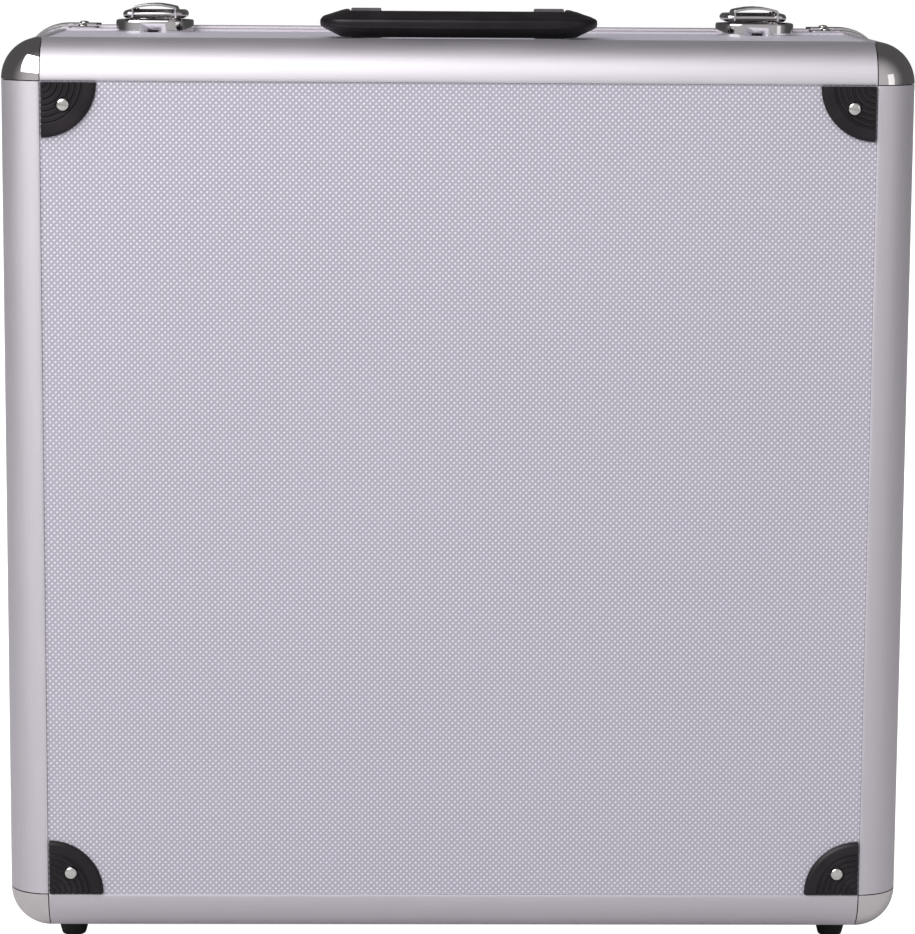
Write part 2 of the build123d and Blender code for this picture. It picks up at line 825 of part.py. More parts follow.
def base_foam():
    """Backing slab, and the die-cut block that lies on it."""
    start = face_y + flange_inner + foam_layer_gap
    split = start + foam_back_thickness
    end = seam_y - foam_face_below_seam
    block_foam = foam_sheet(split + foam_layer_gap, end)
    plane = Plane(origin=(0, split, middle_z), x_dir=(1, 0, 0), z_dir=(0, -1, 0))
    for outline in pocket_outlines():
        block_foam -= extrude(plane.location * outline, end - split + overcut, dir=(0, 1, 0))
    return foam_sheet(start, split), block_foam


# Assembly


def build_shell(prefix, back):
    """Boards, rails, caps, pads, frame, brackets and feet of one half of the case."""
    outer_y = back_y if back else face_y
    inward = -1 if back else 1
    arc_y = outer_y + inward * rail_radius
    rim = lid_rim_y if back else base_rim_y
    board_edge = rim - inward * (frame_end_web + joint_gap)
    wall_range = sorted([arc_y + inward * joint_gap, board_edge])
    strip_end = rim - inward * (strip_width + joint_gap)
    frame_end = rim - inward * (frame_skin_depth + joint_gap)

    face = Plane(origin=(0, outer_y + inward * laminate_recess, middle_z),
                 x_dir=(inward, 0, 0), z_dir=(0, -inward, 0))
    spots = pad_spots(face)
    save(f"{prefix}_face_board", face_board(outer_y, inward))
    save(f"{prefix}_corner_pads", [spot * corner_pad() for spot in spots])
    save(f"{prefix}_pad_rivets", [spot * pad_rivet() for spot in spots])
    for name, side in sides.items():
        save(f"{prefix}_{name}_board", wall_board(side, wall_range))
        save(f"{prefix}_{name}_rail", face_rail(side, back))

    save(f"{prefix}_depth_rails", depth_rails(arc_y + inward * joint_gap, strip_end, frame_end))
    save(f"{prefix}_ball_caps", ball_caps(arc_y, back))

    ring = lid_frame() if back else base_frame()
    proud = lid_strip_proud if back else base_strip_proud
    bracket_y = rim + (bracket_from_rim if back else -bracket_from_rim - bracket_width)
    straps, heads = corner_brackets(bracket_y, proud)
    save(f"{prefix}_seam_frame", mitred(ring, (seam_y - 2 * strip_width, seam_y + 2 * strip_width)))
    save(f"{prefix}_corner_brackets", straps)
    save(f"{prefix}_bracket_rivets", heads)

    foot_y = outer_y + inward * foot_from_face
    save(f"{prefix}_feet", [spot * foot() for spot in foot_spots(foot_y)])
    save(f"{prefix}_foot_screws", [spot * foot_screw() for spot in foot_spots(foot_y)])


def build_hinges():
    bottom = sides["bottom"]
    leaves = {
        "base": (-1, base_strip_proud, 0),
        "lid": (1, lid_strip_proud, 1),
    }
    for prefix, (toward, proud, first) in leaves.items():
        solids, rivets = [], []
        for sx in (-1, 1):
            leaf = hinge_leaf_solid(toward, proud, first)
            for u, y, height in hinge_rivet_spots(toward):
                head = rivet(small_rivet_radius, small_rivet_height)
                rivets.append(bottom.put(Pos(sx * hinge_x + u, y, height) * head))
            solids.append(bottom.put(Pos(sx * hinge_x, 0, 0) * leaf))
        save(f"{prefix}_hinge_leaves", solids)
        save(f"{prefix}_hinge_rivets", rivets)
    pin = rod(*hinge_axis(-hinge_length / 2, hinge_length / 2), hinge_pin_radius)
    save("hinge_pins", [bottom.put(Pos(sx * hinge_x, 0, 0) * pin) for sx in (-1, 1)])


def build_latches():
    pins, plate_rivets, keepers, keeper_rivets = [], [], [], []
    head = rivet(small_rivet_radius, small_rivet_height)
    for word, x in (("left", -latch_x), ("right", latch_x)):
        spot = latch_frame(x)
        save(f"latch_plate_{word}", spot * latch_plate())
        save(f"latch_lever_{word}", spot * latch_lever())
        save(f"latch_bail_{word}", spot * latch_bail())
        pins.append(spot * lever_pin())
        keepers.append(spot * keeper())
        for rx, ry in plate_rivet_places():
            plate_rivets.append(spot * Pos(rx, ry, plate_floor_top) * head)
        for rx, ry in keeper_rivet_places():
            keeper_rivets.append(spot * Pos(rx, ry, keeper_sheet - laminate_recess) * head)
    save("latch_pins", pins)
    save("latch_plate_rivets", plate_rivets)
    save("latch_keepers", keepers)
    save("latch_keeper_rivets", keeper_rivets)


def build_handle():
    save("handle_grip", handle_grip())
    save("handle_brackets", [handle_bracket(sx) for sx in (-1, 1)])
    save("handle_pins", [handle_pin(sx) for sx in (-1, 1)])
    seat = top_z - laminate_recess + handle_bracket_foot
    head = rivet(small_rivet_radius, small_rivet_height)
    save("handle_rivets", [Pos(x, y, seat) * head for x, y in handle_rivet_places()])


def build_foam():
    back, cut_block = base_foam()
    save("base_foam_back", back)
    save("base_foam_block", cut_block)
    end = back_y - flange_inner - foam_layer_gap
    save("lid_foam", foam_sheet(end - lid_foam_thickness, end))


os.makedirs("parts", exist_ok=True)
build_shell("base", False)
build_shell("lid", True)
build_hinges()
build_latches()
build_handle()
build_foam()
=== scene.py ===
from math import asin, copysign, cos, pi, radians, sin, sqrt, tau

import bmesh
import bpy
from mathutils import Matrix, Vector


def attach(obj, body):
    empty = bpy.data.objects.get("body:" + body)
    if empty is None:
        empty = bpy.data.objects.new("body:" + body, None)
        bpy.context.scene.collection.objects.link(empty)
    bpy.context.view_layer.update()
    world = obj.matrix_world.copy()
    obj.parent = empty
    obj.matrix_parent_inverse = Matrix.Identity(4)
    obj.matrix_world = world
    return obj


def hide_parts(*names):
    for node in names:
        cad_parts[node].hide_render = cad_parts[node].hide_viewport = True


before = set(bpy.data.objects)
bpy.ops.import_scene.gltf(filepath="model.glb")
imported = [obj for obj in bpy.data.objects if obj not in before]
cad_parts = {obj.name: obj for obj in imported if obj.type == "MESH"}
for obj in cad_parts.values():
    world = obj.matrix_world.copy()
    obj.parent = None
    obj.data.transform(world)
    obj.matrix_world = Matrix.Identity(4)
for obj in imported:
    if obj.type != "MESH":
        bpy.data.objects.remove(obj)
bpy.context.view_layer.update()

scene = bpy.context.scene


# Camera. It stands a little left of the case's middle, about half a hand above its top, and looks down by
# nine degrees, as the photograph was taken.
camera_place = Vector((-0.03189, -1.85085, 0.52048))
camera_down, camera_turn, camera_roll = radians(8.876), radians(1.063), radians(0.375)
lens = bpy.data.cameras.new("camera")
lens.sensor_fit = "VERTICAL"
lens.sensor_height = 24
lens.lens = 90.89
ahead = Vector((sin(camera_turn) * cos(camera_down), cos(camera_turn) * cos(camera_down), -sin(camera_down)))
level = Vector((cos(camera_turn), -sin(camera_turn), 0))
upward = level.cross(ahead)
right = cos(camera_roll) * level + sin(camera_roll) * upward
up = cos(camera_roll) * upward - sin(camera_roll) * level
camera = bpy.data.objects.new("camera", lens)
camera.matrix_world = Matrix.Translation(camera_place) @ Matrix((right, up, -ahead)).transposed().to_4x4()
scene.collection.objects.link(camera)
scene.camera = camera
scene.view_settings.view_transform = "Standard"


# Studio. A pale table top in a plain room, with one large softbox up on the left and a weaker one on the
# right. The camera sees table and room as white; bright metal sees a pale wall in front, and grey elsewhere.
floor_half = 9.0
softboxes = (
    # name, place, aim, width, height, watts
    ("softbox_left", (-1.05, -1.4, 1.75), (0, -0.1, 0.25), 1.9, 1.7, 46),
    ("softbox_right", (2.3, -2.2, 1.0), (0, -0.1, 0.25), 1.0, 1.4, 3),
)
room_light, wall_seen, room_seen = 0.84, 0.56, 0.09
table_grey, table_lift, table_glow = 0.42, 1.0, 0.03


def add(tree, kind, feeds=None, **settings):
    """Add a node to a tree, apply its settings, and feed its inputs with sockets or plain values."""
    node = tree.nodes.new(kind)
    for key, value in settings.items():
        setattr(node, key, value)
    for key, value in (feeds or {}).items():
        if isinstance(value, bpy.types.NodeSocket):
            tree.links.new(value, node.inputs[key])
        else:
            node.inputs[key].default_value = value
    return node


def maths(tree, operation, first, second=0.0, third=0.0):
    """One arithmetic node; gives its result."""
    return add(tree, "ShaderNodeMath", {0: first, 1: second, 2: third}, operation=operation).outputs[0]


for name, place, aim, width, height, watts in softboxes:
    lamp = bpy.data.lights.new(name, "AREA")
    lamp.shape = "RECTANGLE"
    lamp.size, lamp.size_y, lamp.energy = width, height, watts
    box = bpy.data.objects.new(name, lamp)
    turn = (Vector(aim) - Vector(place)).to_track_quat("-Z", "Y").to_matrix().to_4x4()
    box.matrix_world = Matrix.Translation(place) @ turn
    scene.collection.objects.link(box)

world = bpy.data.worlds.new("room")
scene.world = world
world.use_nodes = True
tree = world.node_tree
tree.nodes.clear()
path = add(tree, "ShaderNodeLightPath")
direction = add(tree, "ShaderNodeTexCoord").outputs["Generated"]
depth = add(tree, "ShaderNodeSeparateXYZ", {0: direction}).outputs["Y"]
fade = add(tree, "ShaderNodeMapRange", {
    "Value": depth, "From Min": -1.0, "From Max": 0.0, "To Min": wall_seen, "To Max": room_seen},
    interpolation_type="SMOOTHSTEP").outputs[0]
seen = maths(tree, "MAXIMUM", path.outputs["Is Camera Ray"], fade)
bright = maths(tree, "MAXIMUM", path.outputs["Is Glossy Ray"], path.outputs["Is Transmission Ray"])
shown = maths(tree, "MAXIMUM", path.outputs["Is Camera Ray"], bright)
lighting = add(tree, "ShaderNodeBackground", {"Color": (room_light, room_light, room_light, 1)}).outputs[0]
backdrop = add(tree, "ShaderNodeBackground", {"Color": (1, 1, 1, 1), "Strength": seen}).outputs[0]
mixed = add(tree, "ShaderNodeMixShader", {0: shown, 1: lighting, 2: backdrop}).outputs[0]
add(tree, "ShaderNodeOutputWorld", {"Surface": mixed})

paper = bpy.data.materials.new("white_table")
paper.use_nodes = True
tree = paper.node_tree
shader = tree.nodes["Principled BSDF"]
shader.inputs["Base Color"].default_value = (table_grey, table_grey, table_grey, 1)
shader.inputs["Roughness"].default_value = 0.9
shader.inputs["Specular IOR Level"].default_value = 0.1
path = add(tree, "ShaderNodeLightPath")
bright = maths(tree, "MAXIMUM", path.outputs["Is Glossy Ray"], path.outputs["Is Transmission Ray"])
glow = maths(tree, "MULTIPLY", bright, table_glow)
lift = maths(tree, "MULTIPLY_ADD", path.outputs["Is Camera Ray"], table_lift, glow)
shader.inputs["Emission Color"].default_value = (1, 1, 1, 1)
tree.links.new(lift, shader.inputs["Emission Strength"])
table_mesh = bpy.data.meshes.new("table_top")
table_corners = [(sx * floor_half, sy * floor_half, 0) for sx, sy in ((-1, -1), (1, -1), (1, 1), (-1, 1))]
table_mesh.from_pydata(table_corners, [], [(0, 1, 2, 3)])
table_mesh.materials.append(paper)
table = bpy.data.objects.new("table_top", table_mesh)
scene.collection.objects.link(table)


# Boards. Thin fibreboard faced with silver laminate, whose small bright dots are embossed in staggered
# rows, and lined inside with dark paper. They slide into the rails and stay as the solids have them.
dot_pitch = 0.0021213
dot_radius = 0.00066
case_middle = 0.2355
laminate_ground, laminate_dot = (0.46, 0.438, 0.515), (0.86, 0.84, 0.91)
lining_colour = (0.018, 0.018, 0.02)


def new_group(name, inputs, outputs, group_kind="ShaderNodeTree"):
    """An empty node group with named sockets: the group, what it is given, and its last node."""
    group = bpy.data.node_groups.new(name, group_kind)
    for label, kind, value in inputs:
        socket = group.interface.new_socket(name=label, in_out="INPUT", socket_type=kind)
        if value is not None:
            socket.default_value = value
    for label, kind in outputs:
        group.interface.new_socket(name=label, in_out="OUTPUT", socket_type=kind)
    return group, group.nodes.new("NodeGroupInput").outputs, group.nodes.new("NodeGroupOutput")


def new_finish(name, colour, metal, rough):
    """A material with plain values, its node tree and its shader."""
    finish = bpy.data.materials.new(name)
    finish.use_nodes = True
    shader = finish.node_tree.nodes["Principled BSDF"]
    shader.inputs["Base Color"].default_value = (*colour, 1)
    shader.inputs["Metallic"].default_value = metal
    shader.inputs["Roughness"].default_value = rough
    return finish, finish.node_tree, shader


def blend_colour(tree, share, first, second):
    """Mix of two colours, given as values or sockets."""
    mix = tree.nodes.new("ShaderNodeMix")
    mix.data_type = "RGBA"
    for socket, value in ((mix.inputs[0], share), (mix.inputs[6], first), (mix.inputs[7], second)):
        if isinstance(value, bpy.types.NodeSocket):
            tree.links.new(value, socket)
        else:
            socket.default_value = value if isinstance(value, float) else (*value, 1)
    return mix.outputs[2]


def shaded(colour, factor):
    """A colour made darker or lighter, at most white."""
    return tuple(min(1.0, part * factor) for part in colour)


def own_place(tree):
    """The piece's own coordinates, in metres."""
    return add(tree, "ShaderNodeTexCoord").outputs["Object"]


def noise(tree, place, scale, detail, rough=0.5):
    """Grey value of one noise texture."""
    feeds = {"Vector": place, "Scale": scale, "Detail": detail, "Roughness": rough}
    return add(tree, "ShaderNodeTexNoise", feeds).outputs[0]


def raise_by(tree, shader, height, strength, distance):
    """Bump a shader's surface by a height."""
    feeds = {"Strength": strength, "Distance": distance, "Height": height}
    tree.links.new(add(tree, "ShaderNodeBump", feeds).outputs[0], shader.inputs["Normal"])


dots, given, made = new_group(
    "embossed_dots",
    [("Across", "NodeSocketFloat", None), ("Up", "NodeSocketFloat", None),
     ("Pitch", "NodeSocketFloat", dot_pitch), ("Radius", "NodeSocketFloat", dot_radius),
     ("Stretch", "NodeSocketFloat", 0.8)],
    [("Dot", "NodeSocketFloat"), ("Rise", "NodeSocketFloat")])
steps = maths(dots, "DIVIDE", sqrt(0.5), given["Pitch"])
rows = []
for kind in ("ADD", "SUBTRACT"):
    slant = maths(dots, kind, given["Across"], given["Up"])
    share = maths(dots, "FRACT", maths(dots, "MULTIPLY", slant, steps))
    rows.append(maths(dots, "SUBTRACT", share, 0.5))
drawn_out = maths(dots, "MULTIPLY", rows[0], given["Stretch"])
spot = add(dots, "ShaderNodeCombineXYZ", {0: drawn_out, 1: rows[1]}).outputs[0]
reach = add(dots, "ShaderNodeVectorMath", {0: spot}, operation="LENGTH").outputs["Value"]
reach = maths(dots, "MULTIPLY", reach, given["Pitch"])
for label, inner in (("Dot", 0.3), ("Rise", 0.1)):
    crown = maths(dots, "MULTIPLY", given["Radius"], inner)
    feeds = {"Value": reach, "From Min": given["Radius"], "From Max": crown}
    flank = add(dots, "ShaderNodeMapRange", feeds, interpolation_type="SMOOTHSTEP").outputs[0]
    dots.links.new(flank, made.inputs[label])


def laminate(name, across, upward, through, middle, inner_face):
    """Laminate whose dots lie on the plane of two axes; beyond inner_face from the middle is its outside."""
    finish, tree, shader = new_finish(name, laminate_ground, 0.3, 0.42)
    place = own_place(tree)
    axes = add(tree, "ShaderNodeSeparateXYZ", {0: place}).outputs
    pattern = add(tree, "ShaderNodeGroup", node_tree=dots)
    tree.links.new(axes[across], pattern.inputs["Across"])
    tree.links.new(axes[upward], pattern.inputs["Up"])
    depth = maths(tree, "ABSOLUTE", maths(tree, "SUBTRACT", axes[through], middle))
    outside = maths(tree, "GREATER_THAN", depth, inner_face)
    speck, cloud = noise(tree, place, 1500.0, 2.0), noise(tree, place, 9.0, 3.0)
    tone = maths(tree, "MULTIPLY_ADD", speck, 0.35, maths(tree, "MULTIPLY", cloud, 0.18))
    ground = blend_colour(tree, tone, shaded(laminate_ground, 0.86), shaded(laminate_ground, 1.22))
    face = blend_colour(tree, pattern.outputs["Dot"], ground, laminate_dot)
    tree.links.new(blend_colour(tree, outside, lining_colour, face), shader.inputs["Base Color"])
    plain = maths(tree, "MULTIPLY_ADD", speck, 0.10, 0.40)
    polished = maths(tree, "MULTIPLY_ADD", pattern.outputs["Dot"], -0.12, plain)
    tree.links.new(polished, shader.inputs["Roughness"])
    tree.links.new(maths(tree, "MULTIPLY", outside, 0.3), shader.inputs["Metallic"])
    rise = maths(tree, "MULTIPLY_ADD", speck, 0.06, pattern.outputs["Rise"])
    raise_by(tree, shader, rise, 0.5, 0.00022)
    return finish


laminates = {
    "face": laminate("laminate_on_faces", "X", "Z", "Y", 0.0, 0.1173),
    "left": laminate("laminate_on_sides", "Y", "Z", "X", 0.0, 0.2223),
    "top": laminate("laminate_on_top", "X", "Y", "Z", case_middle, 0.2218),
}
laminates["right"], laminates["bottom"] = laminates["left"], laminates["top"]
for body in ("base", "lid"):
    for word, finish in laminates.items():
        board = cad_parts[f"{body}_{word}_board"]
        board.data.materials.clear()
        board.data.materials.append(finish)


# Rails. Quarter-round aluminium extrusions with satin brushed skins, a lip over each board's edge and
# two thick seats behind it. They are sawn square and pushed onto the prongs of the corner balls.
rail_radius, rail_wall, rail_seat, seat_thickness = 20.5, 1.6, 14.8, 4.0
rail_lip, rail_edge = 0.35, 0.1
half_width, half_height = 225.0, 224.5
bottom_z, top_z, middle_z = 11.0, 460.0, 235.5
face_y, seam_y, back_y = -120.0, 35.0, 120.0
arc_x, arc_z = half_width - rail_radius, half_height - rail_radius
joint_line, frame_joint = 0.35, 0.15
base_rim, lid_rim, strip_width = 34.85, 35.15, 10.0
aluminium, satin_rough = (0.73, 0.69, 0.745), 0.55
grain_along, grain_across = 25, 2600


def on_side(side, along, back, out):
    """Point on one of the four walls: along it, back through the depth, and out from the rails' plane."""
    return {
        "top": (along, back, top_z + out),
        "right": (half_width + out, back, middle_z - along),
        "bottom": (-along, back, bottom_z - out),
        "left": (-half_width - out, back, middle_z + along),
    }[side]


def skin(rings, round_trip=False):
    """Points and faces over a row of equal loops: closed at both ends, or going round to the first."""
    size = len(rings[0])
    points = [point for ring in rings for point in ring]
    faces = []
    for i in range(len(rings) - (0 if round_trip else 1)):
        a, b = i * size, (i + 1) % len(rings) * size
        faces += [(a + j, a + (j + 1) % size, b + (j + 1) % size, b + j) for j in range(size)]
    if not round_trip:
        faces += [tuple(range(size)), tuple(range(len(points) - size, len(points)))]
    return points, faces


def new_piece(name, shapes, finish, crease=32):
    """One mesh from several closed shapes in millimetres: smooth, except at edges sharper than the crease."""
    build = bmesh.new()
    for points, faces in shapes:
        corners = [build.verts.new(Vector(point) * 0.001) for point in points]
        for face in faces:
            build.faces.new([corners[i] for i in face])
    bmesh.ops.recalc_face_normals(build, faces=build.faces)
    mesh = bpy.data.meshes.new(name)
    build.to_mesh(mesh)
    build.free()
    mesh.shade_smooth()
    mesh.set_sharp_from_angle(angle=radians(crease))
    mesh.materials.append(finish)
    piece = bpy.data.objects.new(name, mesh)
    scene.collection.objects.link(piece)
    return piece


def carry(piece, body, slot, *nodes):
    """The piece rides on a body and stands for CAD nodes, which are hidden; the slot is not used."""
    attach(piece, body)
    if nodes:
        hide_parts(*nodes)


grain, given, made = new_group(
    "brushed_grain",
    [("Vector", "NodeSocketVector", None), ("Stretch", "NodeSocketVector", None)],
    [("Streak", "NodeSocketFloat"), ("Smudge", "NodeSocketFloat")])
feeds = {0: given["Vector"], 1: given["Stretch"]}
drawn = add(grain, "ShaderNodeVectorMath", feeds, operation="MULTIPLY").outputs[0]
grain.links.new(noise(grain, drawn, 1.0, 4.0, 0.6), made.inputs["Streak"])
grain.links.new(noise(grain, given["Vector"], 22.0, 3.0), made.inputs["Smudge"])


def brushed(name, colour, rough, stretch):
    """Brushed metal whose fine lines run along the axis that stretch leaves short."""
    finish, tree, shader = new_finish(name, colour, 1.0, rough)
    lines = add(tree, "ShaderNodeGroup", node_tree=grain)
    tree.links.new(own_place(tree), lines.inputs["Vector"])
    lines.inputs["Stretch"].default_value = stretch
    streak, smudge = lines.outputs["Streak"], lines.outputs["Smudge"]
    tone = blend_colour(tree, streak, shaded(colour, 0.93), shaded(colour, 1.06))
    tree.links.new(tone, shader.inputs["Base Color"])
    smeared = maths(tree, "MULTIPLY_ADD", smudge, 0.08, rough - 0.09)
    tree.links.new(maths(tree, "MULTIPLY_ADD", streak, 0.10, smeared), shader.inputs["Roughness"])
    raise_by(tree, shader, streak, 0.12, 0.00003)
    return finish


satin = {}
for axis in "xyz":
    stretch = [grain_along if letter == axis else grain_across for letter in "xyz"]
    satin[axis] = brushed(f"satin_aluminium_along_{axis}", aluminium, satin_rough, stretch)

inner_radius = rail_radius - rail_wall
outer_start, inner_start = asin(rail_lip / rail_radius), asin(seat_thickness / inner_radius)
outer_arc = [outer_start + (pi / 2 - 2 * outer_start) * i / 24 for i in range(25)]
inner_arc = [inner_start + (pi / 2 - 2 * inner_start) * i / 10 for i in range(11)]
rail_outline = [(0, rail_seat), (0, rail_radius - rail_lip), (rail_edge, rail_radius - rail_edge)]
rail_outline += [(rail_radius * sin(a), rail_radius * cos(a)) for a in outer_arc]
rail_outline += [(rail_radius - rail_edge, rail_edge), (rail_radius - rail_lip, 0), (rail_seat, 0)]
rail_outline += [(rail_seat, seat_thickness)]
rail_outline += [(inner_radius * cos(a), inner_radius * sin(a)) for a in inner_arc]
rail_outline += [(seat_thickness, rail_seat)]

for body, toward, arc_y in (("base", -1, face_y + rail_radius), ("lid", 1, back_y - rail_radius)):
    for side in ("top", "right", "bottom", "left"):
        axis, arc = ("x", arc_x) if side in ("top", "bottom") else ("z", arc_z)
        half = arc - joint_line
        rings = [[on_side(side, along, arc_y + toward * p, q - rail_radius) for p, q in rail_outline]
                 for along in (-half, half)]
        rail = new_piece(f"{body}_{side}_rail_extrusion", [skin(rings)], satin[axis])
        carry(rail, body, "satin_aluminium", f"{body}_{side}_rail")
    start = arc_y - toward * joint_line
    end = (base_rim if body == "base" else lid_rim) + toward * (strip_width + frame_joint)
    bars = []
    for sx in (-1, 1):
        for sz in (-1, 1):
            bars.append(skin([[(sx * (arc_x + p), y, middle_z + sz * (arc_z + q)) for p, q in rail_outline]
                              for y in (start, end)]))
    rail = new_piece(f"{body}_depth_rail_extrusions", bars, satin["y"])
    carry(rail, body, "satin_aluminium", f"{body}_depth_rails")


# Corner balls. Eighths of a ball, die-cast in zinc, polished and plated; each closes a corner of the case
# and holds the three rails that meet there. A dark hairline shows round each one.
ball_steps, ball_gap = 20, 0.15
chrome_white = (0.80, 0.75, 0.765)


def plated(name, colour, rough):
    """Plated metal with faint smudges and a slightly uneven surface."""
    finish, tree, shader = new_finish(name, colour, 1.0, rough)
    place = own_place(tree)
    smudge, ripple = noise(tree, place, 130.0, 3.0), noise(tree, place, 420.0, 1.0)
    tree.links.new(maths(tree, "MULTIPLY_ADD", smudge, rough * 0.9, rough * 0.5), shader.inputs["Roughness"])
    tone = blend_colour(tree, smudge, shaded(colour, 0.95), shaded(colour, 1.04))
    tree.links.new(tone, shader.inputs["Base Color"])
    raise_by(tree, shader, ripple, 0.2, 0.00002)
    return finish


ball_finish = plated("plated_zinc", chrome_white, 0.06)


def eighth_ball(centre, signs):
    """Closed eighth of a ball about a corner's centre, a hair smaller than the gap that it fills."""
    points, faces, place = [], [], {}
    radius = rail_radius - ball_gap
    for i in range(ball_steps + 1):
        for j in range(ball_steps + 1 - i):
            ray = Vector((sin(pi / 2 * i / ball_steps), sin(pi / 2 * j / ball_steps),
                          sin(pi / 2 * (ball_steps - i - j) / ball_steps))).normalized()
            place[i, j] = len(points)
            points.append([c + s * (ball_gap + r * radius) for c, s, r in zip(centre, signs, ray)])
    for i in range(ball_steps):
        for j in range(ball_steps - i):
            faces.append((place[i, j], place[i + 1, j], place[i, j + 1]))
            if i + j < ball_steps - 1:
                faces.append((place[i + 1, j], place[i + 1, j + 1], place[i, j + 1]))
    points.append([c + s * ball_gap for c, s in zip(centre, signs)])
    last = len(points) - 1
    for border in ([place[i, 0] for i in range(ball_steps + 1)], [place[0, j] for j in range(ball_steps + 1)],
                   [place[i, ball_steps - i] for i in range(ball_steps + 1)]):
        faces.append(tuple(border) + (last,))
    return points, faces


for body, toward, arc_y in (("base", -1, face_y + rail_radius), ("lid", 1, back_y - rail_radius)):
    balls = [eighth_ball((sx * arc_x, arc_y, middle_z + sz * arc_z), (sx, toward, sz))
             for sx in (-1, 1) for sz in (-1, 1)]
    carry(new_piece(f"{body}_corner_balls", balls, ball_finish), body, "polished_chrome", f"{body}_ball_caps")


# Corner pads. Quarter discs moulded in black plastic, with seven round grooves, a plain band and a
# sloping rim; a flat boss carries the rivet that holds each one to its board.
pad_thickness, pad_setback = 2.6, 0.7
pad_rim = ((25.2, 2.6), (25.6, 2.48), (26.9, 1.15), (27.0, 1.0), (27.0, 0))
groove_first, groove_pitch, groove_half, groove_depth = 3.1, 2.85, 0.78, 0.72
laminate_recess, pad_rivet_inset = 0.9, 10.8
boss_radius = 3.9
pad_black = (0.010, 0.007, 0.0095)

moulding, given, made = new_group(
    "moulded_grain",
    [("Vector", "NodeSocketVector", None), ("Scale", "NodeSocketFloat", 900.0)],
    [("Grain", "NodeSocketFloat"), ("Wear", "NodeSocketFloat")])
moulding.links.new(noise(moulding, given["Vector"], given["Scale"], 2.0), made.inputs["Grain"])
feeds = {"Value": noise(moulding, given["Vector"], 55.0, 4.0), "From Min": 0.45, "From Max": 0.75}
moulding.links.new(add(moulding, "ShaderNodeMapRange", feeds).outputs[0], made.inputs["Wear"])


def moulded(name, colour, rough, relief, scale=900.0):
    """Moulded plastic or rubber with a fine grain and lightly rubbed places."""
    finish, tree, shader = new_finish(name, colour, 0.0, rough)
    surface = add(tree, "ShaderNodeGroup", node_tree=moulding)
    tree.links.new(own_place(tree), surface.inputs["Vector"])
    surface.inputs["Scale"].default_value = scale
    shader.inputs["Specular IOR Level"].default_value = 0.3
    rubbed, fine = surface.outputs["Wear"], surface.outputs["Grain"]
    tone = blend_colour(tree, rubbed, colour, tuple(c * 1.5 + 0.004 for c in colour))
    tree.links.new(tone, shader.inputs["Base Color"])
    matt = maths(tree, "MULTIPLY_ADD", fine, 0.1, rough - 0.03)
    tree.links.new(maths(tree, "MULTIPLY_ADD", rubbed, -0.06, matt), shader.inputs["Roughness"])
    raise_by(tree, shader, fine, 0.35, relief)
    return finish


pad_finish = moulded("black_pad_plastic", pad_black, 0.42, 0.00004)
pad_section = [(0.25, 0), (0.25, pad_thickness)]
for ring in range(7):
    middle = groove_first + ring * groove_pitch
    for step in range(-4, 5):
        share = step / 4
        pad_section.append((middle + share * groove_half, pad_thickness - groove_depth * (1 - share ** 4)))
pad_section += list(pad_rim)


def turned(section, place, count=40):
    """Closed turned shape from (radius, height) points; place puts a point (x, y, height) on the case."""
    angles = [tau * i / count for i in range(count)]
    return skin([[place(r * cos(a), r * sin(a), h) for a in angles] for r, h in section])


def pad_place(toward, sx, sz):
    """Maps a pad's own (inward x, inward z, height) to the case, from a face board's corner."""
    corner_x, corner_z = arc_x - pad_setback, arc_z - pad_setback
    outer = (face_y if toward < 0 else back_y) - toward * laminate_recess
    return lambda a, b, h: (sx * (corner_x - a), outer + toward * h, middle_z + sz * (corner_z - b))


quarter_turn = [pi / 2 * i / 36 for i in range(37)]
boss = [(boss_radius, 0.2), (boss_radius, 2.35), (boss_radius - 0.25, pad_thickness)]
for body, toward in (("base", -1), ("lid", 1)):
    shapes = []
    for sx in (-1, 1):
        for sz in (-1, 1):
            place = pad_place(toward, sx, sz)
            disc = [[place(r * cos(a), r * sin(a), h) for r, h in pad_section] for a in quarter_turn]
            shapes.append(skin(disc))
            shapes.append(turned(boss, lambda a, b, h: place(a + pad_rivet_inset, b + pad_rivet_inset, h)))
    carry(new_piece(f"{body}_grooved_pads", shapes, pad_finish), body, "black_plastic", f"{body}_corner_pads")


# Closing frames. Extruded strips bent round the case at the seam: the base's carries a groove and the
# lid's a tongue, and both grip the boards' edges. The lid's strip stands a little prouder.
strip_proud = {"base": 0.3, "lid": 1.6}
board_top, board_under, skin_under, frame_inner = laminate_recess, 4.5, 5.7, 9.9
skin_reach, web, groove_reach, groove_wall, groove_floor = 14, 1.6, 6, 1.4, 8.5
tongue_reach, tongue_near, tongue_far, frame_edge = 4, 6.2, 7.4, 0.25
base_profile = [
    (-strip_width, board_top), (-strip_width, frame_edge - strip_proud["base"]),
    (frame_edge - strip_width, -strip_proud["base"]), (-frame_edge, -strip_proud["base"]),
    (0, frame_edge - strip_proud["base"]), (0, skin_under), (-groove_reach, skin_under),
    (-groove_reach, groove_floor), (0, groove_floor), (0, frame_inner),
    (-groove_reach - groove_wall, frame_inner), (-groove_reach - groove_wall, skin_under),
    (-skin_reach, skin_under), (-skin_reach, board_under), (-web, board_under), (-web, board_top),
]
lid_profile = [
    (strip_width, board_top), (strip_width, frame_edge - strip_proud["lid"]),
    (strip_width - frame_edge, -strip_proud["lid"]), (frame_edge, -strip_proud["lid"]),
    (0, frame_edge - strip_proud["lid"]), (0, tongue_near), (frame_edge - tongue_reach, tongue_near),
    (-tongue_reach, tongue_near + frame_edge), (-tongue_reach, tongue_far - frame_edge),
    (frame_edge - tongue_reach, tongue_far), (0, tongue_far), (0, frame_inner), (web, frame_inner),
    (web, skin_under), (skin_reach, skin_under), (skin_reach, board_under), (web, board_under),
    (web, board_top),
]
corners = ((1, 1), (-1, 1), (-1, -1), (1, -1))


